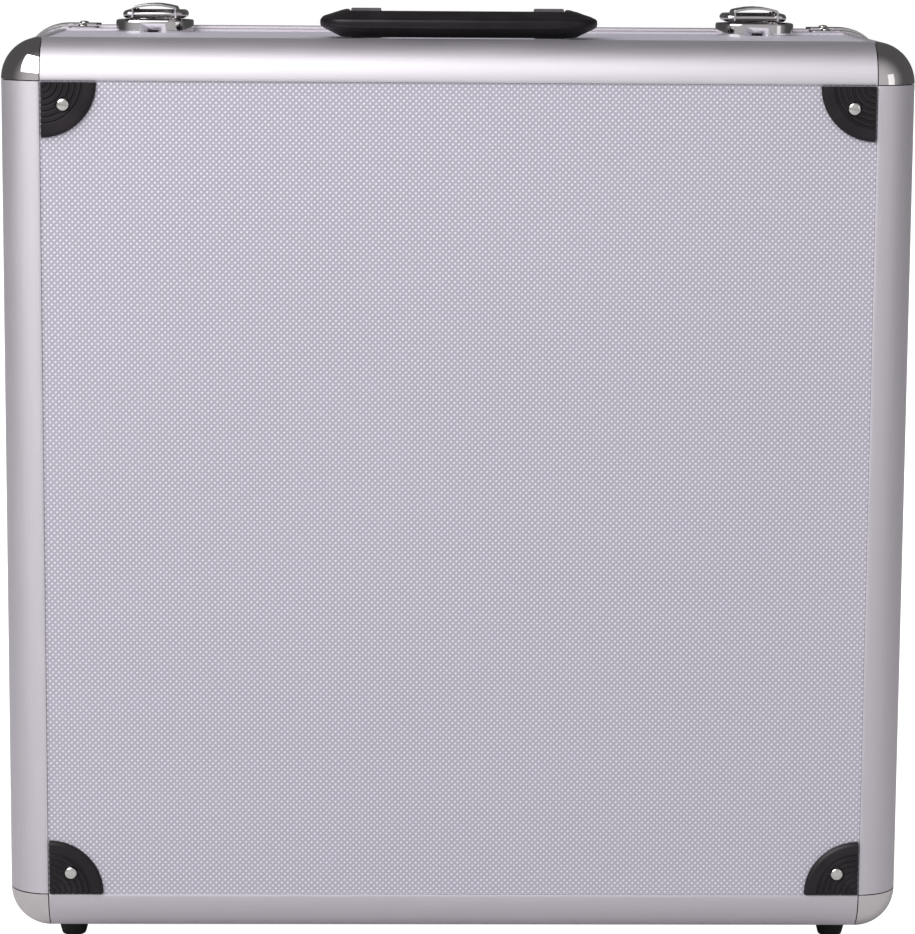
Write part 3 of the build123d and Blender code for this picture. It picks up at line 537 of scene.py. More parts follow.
def round_the_case(profile, rim, steps=14):
    """Closed hoop round the case from a profile of (depth from the rim, distance below the rails)."""
    rings = []
    for index, (sx, sz) in enumerate(corners):
        for step in range(steps + 1):
            angle = pi / 2 * (index + step / steps)
            rings.append([(sx * arc_x + (rail_radius - drop) * cos(angle), rim + y,
                           middle_z + sz * arc_z + (rail_radius - drop) * sin(angle)) for y, drop in profile])
    return skin(rings, round_trip=True)


for body, profile, rim in (("base", base_profile, base_rim), ("lid", lid_profile, lid_rim)):
    hoop = new_piece(f"{body}_closing_frame", [round_the_case(profile, rim)], satin["x"])
    carry(hoop, body, "satin_aluminium", f"{body}_seam_frame")


# Corner brackets. Chrome-plated steel straps with round ends, bent round the corners of the closing
# frames and riveted at both ends; they tie the frames' mitred lengths together.
bracket_reach, bracket_margin = 38.0, 0.3
bracket_width, bracket_thickness, bracket_round, seat = 9.4, 1.0, 3.5, 0.05
chrome = plated("chrome_plate", (0.66, 0.635, 0.645), 0.06)


def bracket(sx, sz, middle_y, proud):
    """One strap: its section follows the corner, and narrows along a round end."""
    near, far = proud + seat, proud + seat + bracket_thickness
    leg = arc_x - (half_width - bracket_reach)
    ends = [0, 0.25, 0.7, 1.3, 2.2, bracket_round]
    runs = [(d, 0, leg - d) for d in ends] + [(leg, 0, 0)]
    runs += [(leg, pi / 2 * i / 14, 0) for i in range(1, 14)]
    runs += [(leg, pi / 2, 0)] + [(d, pi / 2, leg - d) for d in reversed(ends)]
    rings = []
    for d, angle, rest in runs:
        half = bracket_width / 2
        if d < bracket_round:
            half += sqrt(bracket_round ** 2 - (bracket_round - d) ** 2) - bracket_round
        bevel = min(0.3, half * 0.3)
        outline = [(-half, near), (-half, far - bevel), (bevel - half, far), (half - bevel, far),
                   (half, far - bevel), (half, near)]
        out_x, out_z = sin(angle), cos(angle)
        step_x, step_z = (-rest, 0) if angle == 0 else (0, -rest)
        rings.append([(sx * (arc_x + (rail_radius + n) * out_x + step_x), middle_y + dy,
                       middle_z + sz * (arc_z + (rail_radius + n) * out_z + step_z)) for dy, n in outline])
    return skin(rings)


bracket_y = {"base": base_rim - bracket_margin - bracket_width / 2,
             "lid": lid_rim + bracket_margin + bracket_width / 2}
for body, proud in strip_proud.items():
    straps = [bracket(sx, sz, bracket_y[body], proud) for sx in (-1, 1) for sz in (-1, 1)]
    straps = new_piece(f"{body}_corner_straps", straps, chrome)
    carry(straps, body, "polished_chrome", f"{body}_corner_brackets")


# Rivets. Nickel-plated steel heads, round and low: large ones on the corner pads, small ones on the
# brackets, latches, hinges and handle brackets. Their shanks go through the frames and boards.
large_rivet, small_rivet = (3.1, 3.1, 1.25), (2.4, 2.4, 1.1)
hinge_x, latch_x, pivot_y = 130.0, 157.0, -54.0
bracket_rivet_in, hinge_rivet_x, hinge_rivet_y = 29.0, 18.0, 18.5
latch_rivet_x, plate_rivet_y, keeper_rivet_y = 6.0, 21.0, 19.0
saddle_middle, saddle_rivet_y = 46.0, 10.5
leaf_face, plate_face, saddle_face, keeper_face = 0.3, 1.5, 1.7, 0.3
nickel = plated("nickel_plate", (0.74, 0.72, 0.70), 0.17)

domes, given, made = new_group(
    "rivet_heads",
    [("Points", "NodeSocketGeometry", None), ("Segments", "NodeSocketInt", 28),
     ("Rings", "NodeSocketInt", 16), ("Roundness", "NodeSocketFloat", 0.72),
     ("Finish", "NodeSocketMaterial", None)],
    [("Heads", "NodeSocketGeometry")], "GeometryNodeTree")


def own_axes(tree):
    """The three coordinates of a mesh's points, inside a geometry tree."""
    return add(tree, "ShaderNodeSeparateXYZ", {0: add(tree, "GeometryNodeInputPosition").outputs[0]}).outputs


def end_tree(tree, geometry, given, made):
    """Make a tree's instances real, shade them smooth, and give them their finish."""
    solid = add(tree, "GeometryNodeRealizeInstances", {"Geometry": geometry}).outputs[0]
    smooth = add(tree, "GeometryNodeSetShadeSmooth", {"Geometry": solid}).outputs[0]
    final = add(tree, "GeometryNodeSetMaterial", {"Geometry": smooth, "Material": given["Finish"]}).outputs[0]
    tree.links.new(final, made.inputs[0])


feeds = {"Segments": given["Segments"], "Rings": given["Rings"], "Radius": 1.0}
ball = add(domes, "GeometryNodeMeshUVSphere", feeds).outputs["Mesh"]
axes = own_axes(domes)
crown = maths(domes, "POWER", maths(domes, "MAXIMUM", axes["Z"], 0.0), given["Roundness"])
raised = add(domes, "ShaderNodeCombineXYZ", {0: axes["X"], 1: axes["Y"], 2: crown}).outputs[0]
head = add(domes, "GeometryNodeSetPosition", {"Geometry": ball, "Position": raised}).outputs[0]
outward, size = (add(domes, "GeometryNodeInputNamedAttribute", {"Name": label},
                     data_type="FLOAT_VECTOR").outputs[0] for label in ("outward", "size"))
turn = add(domes, "FunctionNodeAlignRotationToVector", {"Vector": outward}, axis="Z").outputs[0]
feeds = {"Points": given["Points"], "Instance": head, "Rotation": turn, "Scale": size}
end_tree(domes, add(domes, "GeometryNodeInstanceOnPoints", feeds).outputs[0], given, made)


def settle(piece):
    """Turn what the piece's modifiers make into its own plain mesh, and drop them."""
    graph = bpy.context.evaluated_depsgraph_get()
    mesh = bpy.data.meshes.new_from_object(piece.evaluated_get(graph), depsgraph=graph)
    piece.modifiers.clear()
    piece.data = mesh
    mesh.name = piece.name
    return piece


def grown(name, tree, mesh, **inputs):
    """Object that a geometry tree grows from a mesh, with the tree's named inputs set, made a plain mesh."""
    piece = bpy.data.objects.new(name, mesh)
    scene.collection.objects.link(piece)
    modifier = piece.modifiers.new("tree", "NODES")
    modifier.node_group = tree
    for label, value in inputs.items():
        modifier[tree.interface.items_tree[label].identifier] = value
    return settle(piece)


def rivet_points(name, heads):
    """Loose points in millimetres, each with the way that it faces and its head's size."""
    mesh = bpy.data.meshes.new(name)
    mesh.from_pydata([Vector(place) * 0.001 for place, _, _ in heads], [], [])
    for label, column in (("outward", 1), ("size", 2)):
        values = mesh.attributes.new(label, "FLOAT_VECTOR", "POINT")
        for i, entry in enumerate(heads):
            values.data[i].vector = Vector(entry[column]) * (1 if column == 1 else 0.001)
    return mesh


for body, toward in (("base", -1), ("lid", 1)):
    heads = []
    over, y = strip_proud[body] + seat + bracket_thickness, bracket_y[body]
    for sx in (-1, 1):
        for sz in (-1, 1):
            spot = pad_place(toward, sx, sz)(pad_rivet_inset, pad_rivet_inset, pad_thickness)
            heads.append((spot, (0, toward, 0), large_rivet))
            spot = (sx * (half_width - bracket_rivet_in), y, middle_z + sz * (half_height + over))
            heads.append((spot, (0, 0, sz), small_rivet))
            spot = (sx * (half_width + over), y, middle_z + sz * (half_height - bracket_rivet_in))
            heads.append((spot, (sx, 0, 0), small_rivet))
            spot = (sx * hinge_x + sz * hinge_rivet_x, seam_y + toward * hinge_rivet_y, bottom_z - leaf_face)
            heads.append((spot, (0, 0, -1), small_rivet))
            latch_rivet = sx * latch_x + sz * latch_rivet_x
            if body == "base":
                spot = (latch_rivet, seam_y - plate_rivet_y, top_z + plate_face)
                heads.append((spot, (0, 0, 1), small_rivet))
                spot = (sx * saddle_middle, pivot_y + sz * saddle_rivet_y, top_z + saddle_face)
            else:
                spot = (latch_rivet, seam_y + keeper_rivet_y, top_z + keeper_face)
            heads.append((spot, (0, 0, 1), small_rivet))
    piece = grown(f"{body}_rivet_heads", domes, rivet_points(f"{body}_rivet_points", heads), Finish=nickel)
    nodes = ["pad_rivets", "bracket_rivets", "hinge_rivets"]
    extra = ["latch_plate_rivets", "handle_rivets"] if body == "base" else ["latch_keeper_rivets"]
    carry(piece, body, "bright_steel", *[f"{body}_{word}" for word in nodes], *extra)


# Latch plates. Dishes pressed from chrome-plated steel with a rolled rim, a small notch at the front and
# two ears for the lever's pin, riveted to the base's top board just before the seam.
plate_half_x, plate_half_y, plate_corner, plate_middle = 20.0, 17.25, 13.0, -18.75
plate_loops = ((0, -0.9), (0, 4.1), (0.1, 4.75), (0.4, 5.18), (0.85, 5.3), (1.25, 5.15), (1.5, 4.75),
               (1.7, 4.1), (2.2, 2.7), (2.8, 1.9), (3.8, 1.5))
notch = ((-2.75, 2.75), (-37.5, -29.5), (-1.6, 0.75))
pin_back, pin_height, pin_radius = -6.0, 8.7, 1.5
ear_sides, ear_half, ear_foot = (9.1, 10.2), 2.2, 1.3
latches = (("left", -latch_x), ("right", latch_x))


def round_rectangle(half_x, half_y, radius, steps=10):
    """Points round a rectangle with round corners."""
    points = []
    for index, (sx, sy) in enumerate(corners):
        for step in range(steps + 1):
            angle = pi / 2 * (index + step / steps)
            points.append((sx * (half_x - radius) + radius * cos(angle),
                           sy * (half_y - radius) + radius * sin(angle)))
    return points


def block(xs, ys, zs):
    """Closed box between ranges, in millimetres."""
    return skin([[(xs[0], ys[0], z), (xs[1], ys[0], z), (xs[1], ys[1], z), (xs[0], ys[1], z)] for z in zs])


def soften(piece, width, segments=3, angle=38):
    """Round a piece's sharp edges by a width in millimetres."""
    modifier = piece.modifiers.new("round_edges", "BEVEL")
    modifier.width, modifier.segments = width * 0.001, segments
    modifier.limit_method, modifier.angle_limit = "ANGLE", radians(angle)
    modifier.harden_normals = True
    return settle(piece)


ear_outline = [(pin_back - ear_half, ear_foot)]
ear_outline += [(pin_back + ear_half * cos(a), pin_height + ear_half * sin(a))
                for a in [pi - pi * i / 10 for i in range(11)]]
ear_outline.append((pin_back + ear_half, ear_foot))
for word, x in latches:
    rings = []
    for inset, n in plate_loops:
        outline = round_rectangle(plate_half_x - inset, plate_half_y - inset, plate_corner - inset)
        rings.append([(x + a, seam_y + plate_middle + b, top_z + n) for a, b in outline])
    plate = new_piece(f"latch_dish_{word}", [skin(rings)], chrome)
    spans = [[start + a for a in span] for start, span in zip((x, seam_y, top_z), notch)]
    cutter = new_piece("notch_cutter", [block(*spans)], chrome)
    cut = plate.modifiers.new("notch", "BOOLEAN")
    cut.operation, cut.object, cut.solver = "DIFFERENCE", cutter, "EXACT"
    settle(plate)
    bpy.data.objects.remove(cutter)
    carry(plate, "base", "polished_chrome", f"latch_plate_{word}")
    ears = []
    for sx in (-1, 1):
        walls = [[(x + sx * out, seam_y + y, top_z + n) for y, n in ear_outline] for out in ear_sides]
        ears.append(skin(walls))
    carry(new_piece(f"latch_ears_{word}", ears, chrome), "base", "polished_chrome")


# Latch levers. Hollow levers pressed from chrome-plated steel: a crowned top and two flanges, open at the
# front. Each turns on a steel pin through the plate's ears and pulls its wire bail over centre.
lever_half, lever_front, lever_back, lever_sheet = 11.75, -29.0, -5.0, 1.15
heel_radius, flange_bottom, shoulder = 2.8, 2.9, 10.8
crown_half = ((11.75, 10.8), (11.66, 11.35), (11.36, 11.85), (10.85, 12.18), (9.9, 12.42), (7.5, 12.93),
              (4, 13.48), (0, 13.7))
crown_section = list(crown_half) + [(-x, z) for x, z in reversed(crown_half[:-1])]
pin_end = ((pin_radius, 11.75), (1.95, 11.8), (1.85, 12.2), (1.3, 12.45))


def lever_shell(x):
    """Open sheet of a lever: two flat flanges and the crown between them."""
    stations = [lever_front, -27, -20, -12, lever_back]
    outline = [(y, shoulder) for y in stations] + [(-4.15, shoulder)]
    outline += [(pin_back + heel_radius * cos(a), pin_height + heel_radius * sin(a))
                for a in [radians(38 - 12.8 * i) for i in range(11)]]
    outline += [(-11.0, flange_bottom), (-26.3, flange_bottom), (-27.5, 3.4), (-28.6, 4.9)]
    outline.append((lever_front, 6.4))
    points, faces = [], []
    for sx in (-1, 1):
        start = len(points)
        points += [(x + sx * lever_half, seam_y + y, top_z + n) for y, n in outline]
        faces.append(tuple(range(start, len(points))))
    width = len(crown_section)
    for row, y in enumerate(stations):
        start = len(points)
        points += [(x + a, seam_y + y, top_z + n) for a, n in crown_section]
        if row:
            faces += [(j, j + 1, j + width + 1, j + width) for j in range(start - width, start - 1)]
    return points, faces


def both_ends(half):
    """A pin's section of (radius, height) points from the section of its one half."""
    return [(r, -h) for r, h in reversed(half)] + list(half)


for word, x in latches:
    lever = new_piece(f"latch_lever_shell_{word}", [lever_shell(x)], chrome)
    sheet = bmesh.new()
    sheet.from_mesh(lever.data)
    bmesh.ops.remove_doubles(sheet, verts=sheet.verts, dist=1e-5)
    bmesh.ops.recalc_face_normals(sheet, faces=sheet.faces)
    sheet.faces.ensure_lookup_table()
    if max(sheet.faces, key=lambda f: f.calc_center_median().z).normal.z < 0:
        bmesh.ops.reverse_faces(sheet, faces=sheet.faces)
    sheet.to_mesh(lever.data)
    sheet.free()
    wall = lever.modifiers.new("sheet", "SOLIDIFY")
    wall.thickness, wall.offset, wall.use_even_offset = lever_sheet * 0.001, -1, True
    settle(lever)
    soften(lever, 0.3, 2)
    carry(lever, f"latch_lever_{word}", "polished_chrome", f"latch_lever_{word}")
    pin = turned(both_ends(pin_end),
                 lambda a, b, h: (x + h, seam_y + pin_back + a, top_z + pin_height + b), 28)
    pin = new_piece(f"latch_pivot_pin_{word}", [pin], nickel)
    replaced = ["latch_pins"] if word == "left" else []
    carry(pin, "base", "bright_steel", *replaced)


# Latch bails. Closed loops of round steel wire, chrome-plated and bent tight at the four corners. The
# front run turns in the lever and the rear run hooks behind the keeper's tab on the lid.
wire_radius, bail_half, bail_front, bail_rear, bail_height, bail_bend = 2.1, 14.4, -24.0, 4.0, 8.0, 2.7
wire_round = [(wire_radius * cos(tau * i / 24), wire_radius * sin(tau * i / 24)) for i in range(24)]
for word, x in latches:
    middle, half_y = (bail_front + bail_rear) / 2, (bail_rear - bail_front) / 2
    track = round_rectangle(bail_half, half_y, bail_bend, 8)
    inner = round_rectangle(bail_half - wire_radius, half_y - wire_radius, bail_bend - wire_radius, 8)
    rings = []
    for (ax, ay), (bx, by) in zip(track, inner):
        side_x, side_y = (ax - bx) / wire_radius, (ay - by) / wire_radius
        rings.append([(x + ax + out * side_x, seam_y + middle + ay + out * side_y, top_z + bail_height + up)
                      for out, up in wire_round])
    bail = new_piece(f"latch_wire_{word}", [skin(rings, round_trip=True)], chrome)
    carry(bail, f"latch_bail_{word}", "polished_chrome", f"latch_bail_{word}")


# Latch keepers. Strips of chrome-plated steel bent over the lid's strip, with a tab that stands up inside
# the bail; two rivets hold each to the lid's top board. They stay as the solids have them.
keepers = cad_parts["latch_keepers"]
keepers.data.materials.clear()
keepers.data.materials.append(chrome)


# Carrying handle. A grip moulded in near-black plastic, bowed outwards and round-edged, folded flat on the
# top. Its two arms turn on steel pins in saddle brackets of a greyer plastic, riveted to the board.
pivot_height, grip_half = 6.85, 6.45
arm_outer, arm_inner, inner_corner = 68.5, 54.0, 6.0
bar_front, bar_ends, bar_inner, taper_start, taper_side = -52.0, -49.8, -32.0, 50.0, -36.8
taper_bend = (65.2, -49.2)
bend_start, outer_bend, inner_bend = -24.0, 0.3, 0.15
band_top, band_bottom, slope_width = 2.65, -1.15, 12.0
grip_black, bracket_grey = (0.006, 0.0042, 0.006), (0.075, 0.07, 0.075)
grip_finish = moulded("grip_plastic", grip_black, 0.36, 0.00003, 1300.0)
saddle_finish = moulded("bracket_plastic", bracket_grey, 0.4, 0.00003)


def grip_stations():
    """Outer and inner plan points and half heights along the grip's right half, from its arm's end."""
    rows = []
    for y in (6.38, 6.1, 5.4, 4.3, 2.8, 1.2, 0):
        rows.append(((arm_outer, y), (arm_inner, y), sqrt(grip_half ** 2 - y ** 2)))
    rows += [((arm_outer, y), (arm_inner, y), grip_half) for y in (-7, -14, -20, bend_start)]
    for i in range(1, 15):
        t = i / 14
        if t <= outer_bend:
            outer = (arm_outer, bend_start + (taper_side - bend_start) * t / outer_bend)
        else:
            s = (t - outer_bend) / (1 - outer_bend)
            outer = tuple((1 - s) ** 2 * a + 2 * s * (1 - s) * b + s * s * c for a, b, c in zip(
                (arm_outer, taper_side), taper_bend, (taper_start, bar_ends)))
        turn = pi / 2 * max(0.0, (t - inner_bend) / (1 - inner_bend))
        inner = (arm_inner - inner_corner + inner_corner * cos(turn),
                 bar_inner + inner_corner - inner_corner * sin(turn))
        if t < inner_bend:
            inner = (arm_inner, bend_start - 2 * t / inner_bend)
        rows.append((outer, inner, grip_half))
    for i in range(1, 9):
        x = taper_start * (1 - i / 8)
        bowed = bar_front + (bar_ends - bar_front) * (x / taper_start) ** 2
        rows.append(((x, bowed), (x * 0.96, bar_inner), grip_half))
    return rows


def grip_section(width):
    """The grip's six-sided section, its corners rounded: points (distance in from the outer side, rise)."""
    hexagon = [((0, band_top), 1.5), ((slope_width, grip_half), 1.1), ((width, grip_half), 1.3),
               ((width, -grip_half), 1.3), ((slope_width, -grip_half), 1.1), ((0, band_bottom), 1.5)]
    points = []
    for i, (corner, cut) in enumerate(hexagon):
        corner = Vector(corner)
        before, after = Vector(hexagon[i - 1][0]), Vector(hexagon[(i + 1) % 6][0])
        first, last = (corner + (other - corner).normalized() * cut for other in (before, after))
        for t in (0, 0.2, 0.4, 0.6, 0.8, 1):
            points.append((1 - t) ** 2 * first + 2 * t * (1 - t) * corner + t * t * last)
    return points


def grip_shape():
    """The grip's closed skin: six-sided sections between its outer and inner lines."""
    rows = grip_stations()
    mirrored = [((-a[0], a[1]), (-b[0], b[1]), h) for a, b, h in reversed(rows[:-1])]
    rings = []
    for outer, inner, half in rows + mirrored:
        across = Vector(inner) - Vector(outer)
        inward = across.normalized()
        section = grip_section(across.length)
        rings.append([(outer[0] + inward.x * d, pivot_y + outer[1] + inward.y * d,
                       top_z + pivot_height + rise * half / grip_half) for d, rise in section])
    return skin(rings)


carry(new_piece("carrying_grip", [grip_shape()], grip_finish, 60), "handle", "black_plastic", "handle_grip")
saddle_x, saddle_round = (38.4, 53.6), 7
handle_pin_section = ((1.9, 37.7), (2.4, 37.9), (2.5, 38.2), (2.5, 63.3), (1.9, 63.5))
saddle_outline = [(-14, -0.9), (14, -0.9), (14, 1.4), (13.4, 1.9), (9.5, 2.6), (7.6, 3.6), (7, 5.2)]
saddle_outline += [(saddle_round * cos(a), pivot_height + saddle_round * sin(a))
                   for a in [pi * i / 16 for i in range(17)]]
saddle_outline += [(-7, 5.2), (-7.6, 3.6), (-9.5, 2.6), (-13.4, 1.9), (-14, 1.4)]
saddles, pins = [], []
for sx in (-1, 1):
    saddles.append(skin([[(sx * x, pivot_y + y, top_z + n) for y, n in saddle_outline] for x in saddle_x]))
    pins.append(turned(handle_pin_section,
                       lambda a, b, h: (sx * h, pivot_y + a, top_z + pivot_height + b), 28))
saddles = soften(new_piece("handle_saddles", saddles, saddle_finish), 0.7)
carry(saddles, "base", "black_plastic", "handle_brackets")
carry(new_piece("handle_pivot_pins", pins, nickel), "base", "bright_steel", "handle_pins")


# Feet. Short cones moulded in black rubber, one near each corner of the bottom, each held by a screw
# whose head sits in a recess, clear of the floor.
foot_x, foot_front, foot_tall = 195.3, 40.0, 11.9
foot_section = ((9.0, foot_tall), (9.0, 11.2), (8.6, 10.4), (6.3, 1.3), (5.9, 0.4), (5.3, 0), (3.6, 0),
                (3.3, 0.3), (3.3, 3.0))
screw_section = ((2.9, 3.0), (2.9, 2.1), (2.5, 1.45), (1.5, 1.08), (1.3, 1.05), (1.15, 1.9))
rubber = moulded("black_rubber", (0.017, 0.015, 0.016), 0.62, 0.00005)
for body, y in (("base", face_y + foot_front), ("lid", back_y - foot_front)):
    for name, section, finish, slot, node in (
            ("rubber_feet", foot_section, rubber, "black_rubber", "feet"),
            ("foot_screw_heads", screw_section, nickel, "bright_steel", "foot_screws")):
        pair = [turned(section, lambda a, b, h: (sx * foot_x + a, y + b, h)) for sx in (-1, 1)]
        carry(new_piece(f"{body}_{name}", pair, finish), body, slot, f"{body}_{node}")


# Hinges. Two steel butt hinges under the seam: each leaf steps from its strip down to its board, and
# three knuckles share one pin. The base's leaf has the outer knuckles and the lid's the middle one.
knuckle_radius, hinge_pin_radius, axis_n, leaf = 2.6, 1.3, 4.6, 1.2
hinge_half, hinge_third, neck_half, leaf_inner, leaf_cut = 27, 9, 8.8, 0.15, 2.95
hinge_pin_end = ((hinge_pin_radius, 26.9), (hinge_pin_radius, 27.2), (0.9, 27.5))
steel = brushed("zinc_steel", (0.66, 0.65, 0.63), 0.33, (1800, 60, 1800))

knuckles, given, made = new_group(
    "hinge_knuckles",
    [("Points", "NodeSocketGeometry", None), ("Radius", "NodeSocketFloat", knuckle_radius * 0.001),
     ("Length", "NodeSocketFloat", 0.0177), ("Finish", "NodeSocketMaterial", None)],
    [("Barrels", "NodeSocketGeometry")], "GeometryNodeTree")
feeds = {"Vertices": 32, "Side Segments": 12, "Radius": given["Radius"], "Depth": given["Length"]}
barrel = add(knuckles, "GeometryNodeMeshCylinder", feeds).outputs["Mesh"]
axes = own_axes(knuckles)
half_length = maths(knuckles, "MULTIPLY", given["Length"], 0.5)
share = maths(knuckles, "DIVIDE", maths(knuckles, "ABSOLUTE", axes["Z"]), half_length)
rounding = maths(knuckles, "MULTIPLY", maths(knuckles, "POWER", share, 14.0), 0.12)
pinch = maths(knuckles, "SUBTRACT", 1.0, rounding)
feeds = {0: maths(knuckles, "MULTIPLY", axes["X"], pinch), 1: maths(knuckles, "MULTIPLY", axes["Y"], pinch),
         2: axes["Z"]}
squeezed = add(knuckles, "ShaderNodeCombineXYZ", feeds).outputs[0]
barrel = add(knuckles, "GeometryNodeSetPosition", {"Geometry": barrel, "Position": squeezed}).outputs[0]
feeds = {"Points": given["Points"], "Instance": barrel, "Rotation": (0, pi / 2, 0)}
end_tree(knuckles, add(knuckles, "GeometryNodeInstanceOnPoints", feeds).outputs[0], given, made)


def hinge_bar(middle, toward, outline, ends):
    """Bar along a hinge, from an outline of (distance from the seam, depth below the boards)."""
    return skin([[on_side("bottom", middle + u, seam_y + toward * a, b) for a, b in outline] for u in ends])


for body, toward, spots in (("base", -1, (-18, 18)), ("lid", 1, (0,))):
    proud, leaves = strip_proud[body], []
    whole = [(leaf_inner, proud), (10.35, proud), (10.35, -0.9), (25, -0.9), (25, 0.3), (11.55, 0.3),
             (11.55, proud + leaf), (leaf_inner, proud + leaf)]
    cut = [(max(a, leaf_cut), b) for a, b in whole]
    neck = [(leaf_inner, proud), (3.6, proud), (2.6, axis_n), (leaf_inner, axis_n)]
    outer, core = (whole, cut) if body == "base" else (cut, whole)
    for sx in (-1, 1):
        middle = -sx * hinge_x
        leaves.append(hinge_bar(middle, toward, outer, (-hinge_half, -hinge_third)))
        leaves.append(hinge_bar(middle, toward, core, (-hinge_third, hinge_third)))
        leaves.append(hinge_bar(middle, toward, outer, (hinge_third, hinge_half)))
        leaves += [hinge_bar(middle, toward, neck, (u - neck_half, u + neck_half)) for u in spots]
    leaves = new_piece(f"{body}_hinge_plates", leaves, steel)
    carry(leaves, body, "bright_steel", f"{body}_hinge_leaves")
    mesh = bpy.data.meshes.new(f"{body}_knuckle_points")
    places = [on_side("bottom", sx * hinge_x + u, seam_y, axis_n) for sx in (-1, 1) for u in spots]
    mesh.from_pydata([Vector(place) * 0.001 for place in places], [], [])
    carry(grown(f"{body}_hinge_barrels", knuckles, mesh, Finish=steel), body, "bright_steel")
pins = []
for sx in (-1, 1):
    pins.append(turned(both_ends(hinge_pin_end),
                       lambda a, b, h: (sx * hinge_x + h, seam_y + a, bottom_z - axis_n + b), 24))
carry(new_piece("hinge_pin_rods", pins, nickel), "base", "bright_steel", "hinge_pins")


# Base foam. Two layers of charcoal polyurethane foam: a plain back sheet, and a block die-cut with pockets
# for the mount, its arm, the hand controller, the counterweight bar and two counterweights.
foam_half_x, foam_half_z, foam_round = 214.8, 214.3, 11.0
foam_back, foam_split, foam_face = -114.1, -84.1, 31.0
foam_rounding, pocket_round = 2.0, 9.0
foam_grey = (0.030, 0.030, 0.033)
pockets = (
    [(-165, -95), (-25, -95), (-25, 30), (75, 30), (75, 140), (-25, 140), (-25, 175), (-165, 175)],
    [(0, -120), (190, -120), (190, -50), (0, -50)],
    [(-180, -186), (180, -186), (180, -150), (-180, -150)],
)
weight_pockets = ((145, 130), (145, 20))
weight_radius = 45.0


def foam_finish(name, colour):
    """Open-cell foam: fine pores over a soft, uneven tone."""
    finish, tree, shader = new_finish(name, colour, 0.0, 0.95)
    place = own_place(tree)
    feeds = {"Vector": place, "Scale": 700.0, "Randomness": 1.0}
    pores = add(tree, "ShaderNodeTexVoronoi", feeds).outputs["Distance"]
    cloud = noise(tree, place, 60.0, 5.0)
    uneven = maths(tree, "MULTIPLY_ADD", cloud, 0.5, maths(tree, "MULTIPLY", pores, 0.9))
    tone = blend_colour(tree, uneven, shaded(colour, 1.9), shaded(colour, 0.5))
    tree.links.new(tone, shader.inputs["Base Color"])
    raise_by(tree, shader, pores, 0.8, 0.0006)
    shader.inputs["Specular IOR Level"].default_value = 0.15
    shader.inputs["Sheen Weight"].default_value = 0.25
    return finish


def filleted(path, radius, grow):
    """A square-cornered outline moved out by grow, with its corners rounded."""
    points = []
    for i, corner in enumerate(path):
        before = (Vector(corner) - Vector(path[i - 1])).normalized()
        after = (Vector(path[(i + 1) % len(path)]) - Vector(corner)).normalized()
        side = before.x * after.y - before.y * after.x
        tip = Vector(corner) + grow * (Vector((before.y, -before.x)) + Vector((after.y, -after.x)))
        bend = radius + grow * side
        centre = tip - bend * before + bend * after
        for step in range(9):
            angle = pi / 2 * step / 8
            points.append(tuple(centre + bend * (sin(angle) * before - cos(angle) * after)))
    return points


def ringed(centre, radius, count=72):
    """Points round a circle."""
    angles = [tau * i / count for i in range(count)]
    return [(centre[0] + radius * cos(a), centre[1] + radius * sin(a)) for a in angles]


def foam_edge(outline_at, sign):
    """Loops over a rounded edge, from the foam's face down to its straight wall."""
    rows = []
    for step in range(5):
        angle = pi / 2 * step / 4
        grow = sign * foam_rounding * (1 - sin(angle))
        rows.append((outline_at(grow), foam_face - foam_rounding * (1 - cos(angle))))
    return rows


def block_outline(grow):
    """The block's outer outline, moved out by grow."""
    return round_rectangle(foam_half_x + grow, foam_half_z + grow, foam_round + grow)


foam_plain = foam_finish("charcoal_foam", foam_grey)
foam_build = bmesh.new()
rims = []
holes = [(lambda grow, path=path: filleted(path, pocket_round, grow)) for path in pockets]
holes += [(lambda grow, centre=centre: ringed(centre, weight_radius + grow)) for centre in weight_pockets]
walls = [(block_outline, -1, foam_split + 0.2)] + [(hole, 1, foam_split + 0.4) for hole in holes]
for outline_at, sign, floor in walls:
    rows = foam_edge(outline_at, sign) + [(outline_at(0), floor)]
    loops = []
    for line, y in rows:
        loops.append([foam_build.verts.new((a * 0.001, y * 0.001, (middle_z + b) * 0.001)) for a, b in line])
    for upper, lower in zip(loops, loops[1:]):
        for j in range(len(upper)):
            k = (j + 1) % len(upper)
            foam_build.faces.new((upper[j], upper[k], lower[k], lower[j]))
    foam_build.faces.new(loops[-1])
    rim = loops[0]
    rims += [foam_build.edges.get((rim[j], rim[(j + 1) % len(rim)])) for j in range(len(rim))]
bmesh.ops.triangle_fill(foam_build, use_beauty=True, use_dissolve=False, edges=rims)
bmesh.ops.recalc_face_normals(foam_build, faces=foam_build.faces)
foam_mesh = bpy.data.meshes.new("base_foam_pockets")
foam_build.to_mesh(foam_mesh)
foam_build.free()
foam_mesh.shade_smooth()
foam_mesh.set_sharp_from_angle(angle=radians(40))
foam_mesh.materials.append(foam_plain)
pocket_foam = bpy.data.objects.new("base_foam_pockets", foam_mesh)
scene.collection.objects.link(pocket_foam)
carry(pocket_foam, "base", "dark_foam", "base_foam_block")

rows = [(foam_half_x - 2, foam_back), (foam_half_x - 0.6, foam_back + 0.6), (foam_half_x, foam_back + 2),
        (foam_half_x, foam_split - 2), (foam_half_x - 0.6, foam_split - 0.6), (foam_half_x - 2, foam_split)]
rings = []
for half, y in rows:
    outline = round_rectangle(half, half - 0.5, foam_round - (foam_half_x - half))
    rings.append([(a, y, middle_z + b) for a, b in outline])
back_sheet = new_piece("base_foam_sheet", [skin(rings)], foam_plain, 50)
carry(back_sheet, "base", "dark_foam", "base_foam_back")


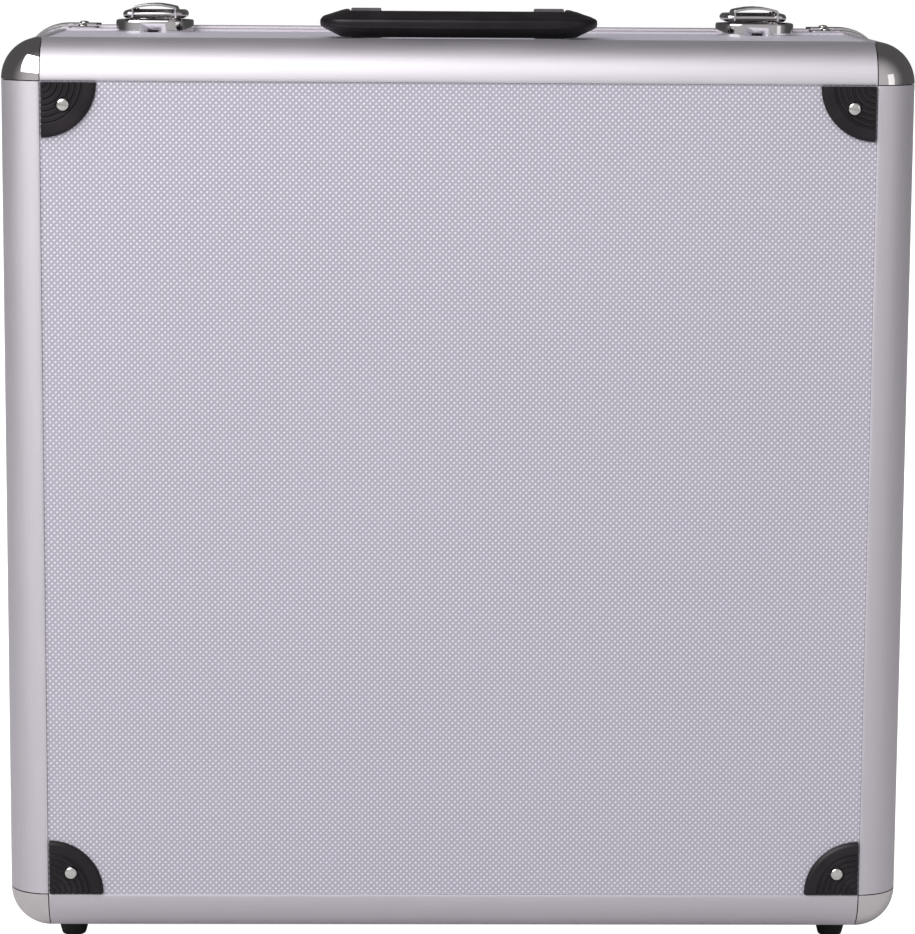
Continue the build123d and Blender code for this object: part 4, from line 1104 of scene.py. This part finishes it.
# Lid foam. A sheet of the same foam, cut by profiled rollers into rows of soft peaks and dips that
# press on what lies in the base. It is glued to the inside of the lid's board.
crate_front, crate_back, crate_pitch, crate_drop = 76.3, 114.1, 0.0445, 0.019
crate, given, made = new_group(
    "egg_crate",
    [("Sheet", "NodeSocketGeometry", None), ("Size", "NodeSocketVector", (0.4, 0.04, 0.4)),
     ("Pitch", "NodeSocketFloat", crate_pitch), ("Drop", "NodeSocketFloat", crate_drop),
     ("Divisions", "NodeSocketInt", 150), ("Finish", "NodeSocketMaterial", None)],
    [("Foam", "NodeSocketGeometry")], "GeometryNodeTree")
feeds = {"Size": given["Size"], "Vertices X": given["Divisions"], "Vertices Y": 2,
         "Vertices Z": given["Divisions"]}
slab = add(crate, "GeometryNodeMeshCube", feeds).outputs["Mesh"]
axes = own_axes(crate)
step = maths(crate, "DIVIDE", tau, given["Pitch"])
waves = [maths(crate, "COSINE", maths(crate, "MULTIPLY", axes[label], step)) for label in ("X", "Z")]
wave = maths(crate, "MULTIPLY_ADD", maths(crate, "ADD", waves[0], waves[1]), -0.25, 0.5)
sink = add(crate, "ShaderNodeCombineXYZ", {1: maths(crate, "MULTIPLY", wave, given["Drop"])}).outputs[0]
feeds = {"Geometry": slab, "Selection": maths(crate, "LESS_THAN", axes["Y"], 0.0), "Offset": sink}
end_tree(crate, add(crate, "GeometryNodeSetPosition", feeds).outputs[0], given, made)

lid_foam = grown("lid_egg_crate_foam", crate, bpy.data.meshes.new("lid_foam_start"), Finish=foam_plain,
                 Size=(2 * foam_half_x * 0.001, (crate_back - crate_front) * 0.001, 2 * foam_half_z * 0.001))
for vertex in lid_foam.data.vertices:
    over = Vector((abs(vertex.co.x) * 1000 - foam_half_x + foam_round,
                   abs(vertex.co.z) * 1000 - foam_half_z + foam_round))
    if over.x > 0 and over.y > 0 and max(over) > 0:
        squared = over * (max(over) / over.length)
        vertex.co.x += copysign((squared.x - over.x) * 0.001, vertex.co.x)
        vertex.co.z += copysign((squared.y - over.y) * 0.001, vertex.co.z)
    vertex.co += Vector((0, (crate_front + crate_back) / 2 * 0.001, middle_z * 0.001))
lid_foam.data.set_sharp_from_angle(angle=radians(55))
carry(lid_foam, "lid", "dark_foam", "lid_foam")
